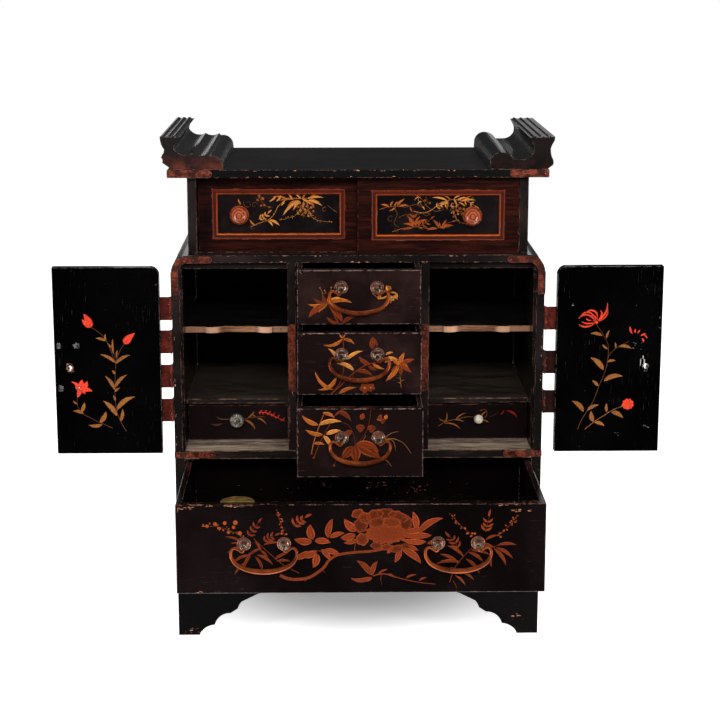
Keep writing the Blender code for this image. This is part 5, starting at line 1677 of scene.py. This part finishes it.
def paint_right_panel():
    p = panel_painting("right", 0.0232, 42, 0.62)
    p.spray(
        (84, 41, 66, 44.5, 5, GOLD), (86, 40, 74, 32.5, 5, GOLD),
        (88, 42, 80, 46.5, 3.6, AMBER), (92, 42, 96, 34, 5, GOLD),
        (96, 41, 108, 44.5, 5.4, GOLD), (100, 40, 118.5, 41, 5.4, GOLD),
        (92, 43, 100, 46.8, 3.8, GOLD), (86, 39, 84, 29, 4.4, AMBER),
        (104, 41, 114, 46.5, 3.6, AMBER), (98, 39, 106, 33, 4.2, GOLD))
    p.stem([(44, 28), (56, 26), (66, 30), (76, 38), (90, 42), (104, 41), (116, 44)], 0.35, 0.2,
           GOLD)
    p.raceme([(92, 38), (90, 30), (93, 22), (99, 15), (110, 12)], 14, 1.25, 0.6, GOLD, 1.8)
    p.cluster(97, 28, 9, 2.7)
    p.raceme([(97, 36), (99, 28), (104, 21)], 6, 1.2, 0.8, AMBER, 2.2)
    p.blossom(57, 41, 1.9, 4, AMBER, GOLD, 0.3)
    p.blossom(63, 38, 1.7, 4, AMBER, GOLD, 0.9)
    p.sprig([(48, 47), (50, 40), (54, 34)], 2, 5.5, 2.2, GOLD)
    p.stem([(46, 47), (54, 42), (60, 34), (70, 28), (80, 30)], 0.2, 0.12, BRONZE)
    p.curl(60, 26, 4.6, 2.8, 0.8, BRONZE)
    p.curl(76, 30, 3.6, 0, 0.8, BRONZE)
    p.stem([(2, 30), (12, 33), (24, 34), (34, 33)], 0.3, 0.2, AMBER)
    p.leaves(AMBER, (14, 33.6, 4, 36, 4.2, -0.1), (16, 34, 19, 40.5, 3.6, 0.1),
             (24, 34, 33, 43, 4.6, 0.1), (26, 33.6, 37.5, 35, 4.4, 0.1),
             (20, 33.8, 26, 40, 3.4, 0.1), (22, 33.4, 14, 28.5, 3.4, 0.1))
    p.leaves(BERRY, (44, 10, 35.5, 22.5, 5.8, -0.1), (45, 11, 52, 22, 5.2, 0.1),
             (44, 9.5, 31, 12.5, 5.2, -0.12), (46, 11, 61, 17.5, 5.4, 0.12),
             (42, 7, 30, 5, 4.8, -0.1), (48, 8.5, 40, 17, 3.8, -0.1),
             (74, 8, 67, 17.5, 5.4, -0.1), (76, 8, 92, 10, 6, 0.1),
             (72, 6.5, 60, 5, 5, -0.1), (78, 8.5, 84, 16, 4.2, 0.1))
    p.stem([(18, 3), (30, 7), (46, 9), (62, 7), (76, 8), (88, 9)], 0.35, 0.2, AMBER)
    p.curl(16, 18, 4.6, 1, 0.8, BRONZE)
    p.stem([(20, 33), (24, 24), (20, 14), (26, 8)], 0.18, 0.12, BRONZE)
    p.stem([(34, 33), (46, 36), (54, 33), (60, 38), (58, 46)], 0.18, 0.12, BRONZE)
    p.stem([(26, 20), (34, 24), (44, 23), (54, 26), (64, 24)], 0.18, 0.12, BRONZE)
    p.sprig([(40, 12), (44, 20), (42, 27)], 2, 8, 3.4, BERRY)
    p.sprig([(48, 9), (56, 12), (64, 18)], 3, 7, 3, BERRY)
    p.sprig([(76, 7), (80, 12), (90, 15)], 2, 7, 3, BERRY)
    p.sprig([(70, 33), (78, 36), (88, 34)], 3, 6, 2.4, GOLD)
    p.sprig([(104, 42), (112, 38), (118, 34)], 2, 6, 2.6, GOLD)
    p.curl(24, 5, 3.4, 2.4, 0.7, BRONZE)
    p.finish()


def paint_inner_drawers():
    p = Painting("left_inner_plants", "inner_drawer_left", at(-INNER_FAR, INNER_FACE, BAY_Z),
                 X, Z, 51, slim=0.55)
    p.stem([(38, 26.5), (56, 26), (72, 27), (86, 29), (96, 29)], 0.3, 0.2, BRONZE)
    p.leaves(BRONZE, (70, 25, 83, 13, 5.6, 0.14), (74, 28, 82.5, 37, 4.4, -0.1),
             (86, 27.5, 97, 19, 4, 0.12), (84, 29, 78, 33.5, 2.8, 0))
    p.leaf(42, 20.5, 28, 20, 4, 0.1, DUSK)
    p.leaf(46, 26, 34, 30, 3, 0.1, DUSK)
    spike = [(88, 35), (98, 34), (108, 29.5), (120, 23.5)]
    p.stem(spike, 0.7, 0.4, CORAL)
    for index, (x, y) in enumerate(spline(spike, 8)[:-1:2]):
        side = 1 if index % 2 else -1
        p.leaf(x, y, x + 2.0 + side * 0.8, y + side * 3.2, 2.2, 0.1, CORAL, 0.9, 1)
    p.finish()
    p = Painting("right_inner_plants", "inner_drawer_right", at(INNER_NEAR, INNER_FACE, BAY_Z),
                 X, Z, 52, slim=0.55)
    p.stem([(14, 16), (24, 22), (36, 25), (52, 28), (62, 27)], 0.3, 0.2, BRONZE)
    p.leaves(BRONZE, (22, 20, 24.5, 34, 3.6, -0.1), (22, 19.5, 42, 12, 3.6, 0.14),
             (36, 24.5, 50, 33, 3.2, 0.12), (34, 24, 46, 21.5, 2.8, 0.1),
             (24, 22, 14, 27, 2.4, 0.1), (68, 27, 74, 35, 3.6, 0.14),
             (66, 24, 78, 20, 3.4, 0.1))
    p.stem([(66, 36), (73, 37), (75, 31), (72, 27)], 0.3, 0.2, AMBER)
    p.stem([(78, 28), (84, 30), (90, 35)], 0.2, 0.15, DUSK)
    p.leaf(99, 36, 113, 27, 5, 0.12, CRIMSON, 0.9, 1)
    p.leaf(91, 31, 96, 37, 2.4, -0.2, CRIMSON, 0.9, 1)
    p.finish()


def branch(p, base, tip, colour, seed, pairs, length, width, flowers):
    """A large leafy branch for the plain outer faces."""
    chance = random.Random(seed)
    points = []
    for step in range(5):
        t = step / 4
        points.append((base[0] + (tip[0] - base[0]) * t + chance.uniform(-5, 5) * (0 < step < 4),
                       base[1] + (tip[1] - base[1]) * t + chance.uniform(-4, 4) * (0 < step < 4)))
    p.stem(points, 1.1, 0.4, colour)
    p.sprig(points, pairs, length, width, colour, 0.2, 0.8)
    for x, y, radius in flowers:
        p.blossom(x, y, radius, 6, AMBER, GOLD, 0.2)
        p.blossom(x, y, radius * 0.6, 6, GOLD, EMBER, 0.7)


def paint_outsides():
    """The faces that are turned away: bolder, simpler plants in the same colours."""
    for side, label, corner, base, tip, seed, flowers in (
        (-1, "left", at(-DOOR_IN, DOOR_BACK, BAY_Z), (98, 14), (50, 190), 3,
         ((46, 172, 13), (78, 118, 10))),
        (1, "right", at(DOOR_OUT, DOOR_BACK, BAY_Z), (28, 14), (74, 190), 4,
         ((82, 168, 13), (50, 120, 10))),
    ):
        p = Painting(f"{label}_door_front_plants", f"door_{label}", corner, -X, Z, 61 + side)
        branch(p, base, tip, AMBER, seed, 7, 24, 8, flowers)
        p.finish()
    for side, label, corner, right in ((-1, "left", at(-HALF, DEPTH, SIDE_Z), -Y),
                                       (1, "right", at(HALF, 0, SIDE_Z), Y)):
        p = Painting(f"{label}_side_plants", "root", corner, right, Z, 71 + side)
        branch(p, (60, 24), (176, 190), RUST, 7 + side, 7, 30, 10, ((178, 176, 15), (140, 118, 12)))
        branch(p, (112, 20), (206, 96), AMBER, 9 + side, 5, 22, 7, ((206, 92, 9),))
        p.finish()


# ---------------------------------------------------------------- wear

def build_chips():
    """Bare wood showing where lacquer has flaked off, as thin ragged flakes."""
    chance = random.Random(99)

    def flakes(piece, place, spots, grow=1.0, colour=WOOD):
        for x, y, long, wide, count in spots:
            for _ in range(count):
                cx = x + chance.uniform(-long, long)
                cy = y + chance.uniform(-wide, wide)
                size = chance.uniform(0.3, 1.0) * grow
                a = chance.uniform(0.8, 2.8) * size
                b = chance.uniform(0.25, 0.7) * size
                if wide > long:
                    a, b = b, a
                ragged = [chance.uniform(0.5, 1.3) for _ in range(11)]
                tone = chance.uniform(0.25, 0.9)
                piece.shade = scaled(colour, tone)
                rings = []
                for reach, z in ((1.0, -0.05), (1.0, 0.03), (0.7, 0.05)):
                    rings.append([
                        place @ Vector((cx + a * reach * rag * math.cos(turn),
                                        cy + b * reach * rag * math.sin(turn), z))
                        for rag, turn in zip(ragged, turns(11))
                    ])
                piece.rings(rings)

    def chips(name, body, *groups):
        """One piece of flakes; a group is a plane, its spots and perhaps a size and colour."""
        piece = Piece()
        for group in groups:
            flakes(piece, *group)
        piece.finish(f"{name}_chips", M["flake"], body, "shelf_wood", sharp=60)

    chips(
        "bottom_drawer", "drawer_bottom",
        (plane(at(-BOTTOM_HALF, -BOTTOM_PULL, BOTTOM_Z), X, Z),
         ((14, 102, 8, 1.6, 12), (40, 104, 10, 0.7, 8), (66, 103.6, 12, 0.9, 14),
          (392, 97, 12, 1.8, 14), (380, 104, 14, 0.7, 9), (70, 104.2, 18, 0.9, 16),
          (27, 2, 4, 0.8, 6), (4, 100, 2.5, 3, 5))),
        (plane(at(-BOTTOM_HALF, -BOTTOM_PULL, 0.2263), X, Y),
         ((60, 1.6, 50, 1.2, 24), (300, 1.2, 90, 0.9, 9), (20, 4, 12, 3, 8), (398, 4, 16, 3, 10))),
        (plane(at(-0.2036, -BOTTOM_PULL + 0.011, 0.1257), X, Y),
         ((250, 180, 60, 30, 46), (240, 205, 16, 12, 26), (180, 120, 120, 60, 20))),
        (plane(at(-0.2036, 0.047, 0.1257), X, Z),
         ((165, 55, 6, 3, 8), (228, 54, 14, 6, 30), (236, 60, 8, 3, 10), (280, 52, 12, 7, 20),
          (250, 70, 60, 3, 8), (200, 45, 150, 18, 40)), 0.6))
    chips(
        "left_door", "door_left",
        (plane(at(-0.3482, DOOR_FACE, 0.347), X, Z),
         ((-3.4, 0.6, 0.8, 2.2, 9), (3.2, -0.4, 0.9, 2, 8), (0, 4.4, 2.6, 0.7, 6),
          (0, -4.2, 2.6, 0.6, 5), (-13, -22, 1, 0.6, 3))))
    keyhole = plane(at(0.344, DOOR_FACE, 0.352), X, Z)
    chips(
        "right_door", "door_right",
        (keyhole, ((-2.4, 1, 0.5, 3.4, 12), (2.3, -0.6, 0.4, 3, 9), (0.4, 5, 0.5, 1.4, 5),
                   (0.6, -4.6, 0.4, 1.2, 4)), 1.1, PALE),
        (keyhole, ((-86, 70, 1.6, 1.5, 5), (-6, 20, 6, 5, 8), (8, -80, 5, 2, 6),
                   (-30, -90, 3, 2, 5), (19, 50, 1, 9, 5)), 0.5, PALE))
    chips(
        "carcass", "root",
        (plane(at(-HALF, 0, 0), X, Z), (
            (145, 318, 0.4, 10, 10), (141, 275, 0.3, 26, 16), (141.2, 355, 0.2, 40, 10),
            (100, 229.4, 30, 0.4, 10), (300, 229.4, 60, 0.4, 14), (230, 238.6, 120, 0.3, 18),
            (225, 473, 150, 0.4, 16), (225, 480.4, 170, 0.4, 12), (2, 300, 0.6, 90, 12),
            (448, 300, 0.6, 90, 10), (6, 120, 4, 6, 6), (20, 6, 12, 3, 9), (14, 103, 10, 1, 6),
            (424, 22, 8, 5, 8), (225, 583, 140, 0.5, 18), (225, 575.6, 170, 0.4, 10))))
    for label, (low, high, pull, _) in DRAWERS.items():
        length = (high - low) / MM
        chips(
            f"drawer_{label}", f"drawer_{label}",
            (plane(at(-DRAWER_HALF, -pull, low), X, Z), (
                (73, length - 0.6, 66, 0.25, 9), (1, length / 2, 0.4, 24, 3),
                (145.4, length / 2, 0.4, 24, 3), (6, length - 3, 3, 1.6, 3))))


# ---------------------------------------------------------------- stage

def aim(obj, target):
    obj.rotation_euler = (Vector(target) - obj.location).to_track_quat("-Z", "Y").to_euler()


def area_light(name, place, target, width, height, power):
    """A soft light; the front one and the two keys don't show in the lacquer."""
    light = bpy.data.lights.new(name, "AREA")
    light.shape = "RECTANGLE"
    light.size = width
    light.size_y = height
    light.energy = power
    obj = bpy.data.objects.new(name, light)
    obj.location = place
    obj.visible_camera = False
    obj.visible_glossy = name not in ("front", "key_left", "key_right")
    bpy.context.scene.collection.objects.link(obj)
    aim(obj, target)


def build_floor():
    """A pale disc that glows towards its rim, so that only the shadow near the feet shows."""
    bpy.ops.mesh.primitive_circle_add(vertices=128, radius=1.7, fill_type="NGON",
                                      location=(0, 1.3, 0))
    floor = bpy.context.active_object
    floor.name = "floor"
    s = Shade("pale_floor", roughness=0.7, specular=0.1)
    s.colour(s.mix(s.noise(3, 2), linear(244, 244, 244), linear(248, 248, 248)))
    centred = s.node("Mapping")
    s.put(centred.inputs["Vector"], s.coordinates)
    centred.inputs["Location"].default_value = (0, 1.08, 0)
    radius = s.node("VectorMath")
    radius.operation = "LENGTH"
    s.put(radius.inputs[0], centred.outputs["Vector"])
    glow = s.ramp(radius.outputs["Value"], 0.11, 0.34)
    s.put(s.shader.inputs["Emission Color"], (1, 1, 1, 1))
    s.put(s.shader.inputs["Emission Strength"], s.scale(glow, 0.30, 1.2))
    floor.data.materials.append(s.material)


def build_world():
    """White for the camera and almost dark for the light that falls on the cabinet."""
    world = bpy.data.worlds.new("studio")
    bpy.context.scene.world = world
    world.use_nodes = True
    tree = world.node_tree
    background = tree.nodes["Background"]
    background.inputs["Color"].default_value = (1, 1, 1, 1)
    path = tree.nodes.new("ShaderNodeLightPath")
    span = tree.nodes.new("ShaderNodeMapRange")
    span.inputs["To Min"].default_value = 0.05
    span.inputs["To Max"].default_value = 1.0
    tree.links.new(path.outputs["Is Camera Ray"], span.inputs["Value"])
    tree.links.new(span.outputs["Result"], background.inputs["Strength"])


def build_lights():
    area_light("front", (0.1, -2.3, 1.45), (0, 0, 0.15), 2.2, 0.6, 52)
    area_light("glint", (0.1, -2.3, 1.45), (0, 0, 0.15), 1.0, 0.22, 14)
    area_light("key_left", (-1.9, -1.7, 1.5), (0, 0, 0.3), 0.8, 1.2, 26)
    area_light("key_right", (2.0, -1.6, 1.4), (0, 0, 0.3), 0.7, 1.2, 20)
    area_light("spark_left", (-1.9, -1.7, 1.5), (0, 0, 0.3), 0.2, 0.9, 4.5)
    area_light("spark_right", (2.0, -1.6, 1.4), (0, 0, 0.3), 0.2, 0.9, 4)
    area_light("overhead", (0, 0.3, 2.6), (0, 0.1, 0), 1.8, 0.7, 16)
    for side, label in SIDES:
        # low strips that draw a line along the upright edges
        area_light(f"edge_{label}", (side * 1.5, -1.5, -0.35), (0, 0, 0.25), 0.25, 1.2, 10)
        area_light(f"rim_{label}", (side * 0.48, 2.2, 0.55), (0, 0, 0.5), 0.16, 0.9, 0.4)


def build_camera():
    scene = bpy.context.scene
    camera = bpy.data.objects.new("camera", bpy.data.cameras.new("camera"))
    camera.location = (-0.0356, -2.238825, 0.8407)
    camera.rotation_euler = (math.pi / 2 - 0.2176, 0, -0.0170)
    camera.data.lens = 93.055
    camera.data.sensor_width = 36
    camera.data.clip_start = 0.05
    scene.collection.objects.link(camera)
    scene.camera = camera
    scene.view_settings.view_transform = "Standard"
    scene.view_settings.look = "None"


dress_nodes()
build_mounts()
build_scroll_flutes()
build_corner_fillets()
build_hinges()
build_bails()
build_mouldings()
build_knobs()
paint_left_door()
build_nail_marks()
paint_right_door()
paint_upper_drawer()
paint_middle_drawer()
paint_lower_drawer()
paint_bottom_drawer()
paint_left_panel()
paint_right_panel()
paint_inner_drawers()
paint_outsides()
build_chips()
build_floor()
build_world()
build_lights()
build_camera()
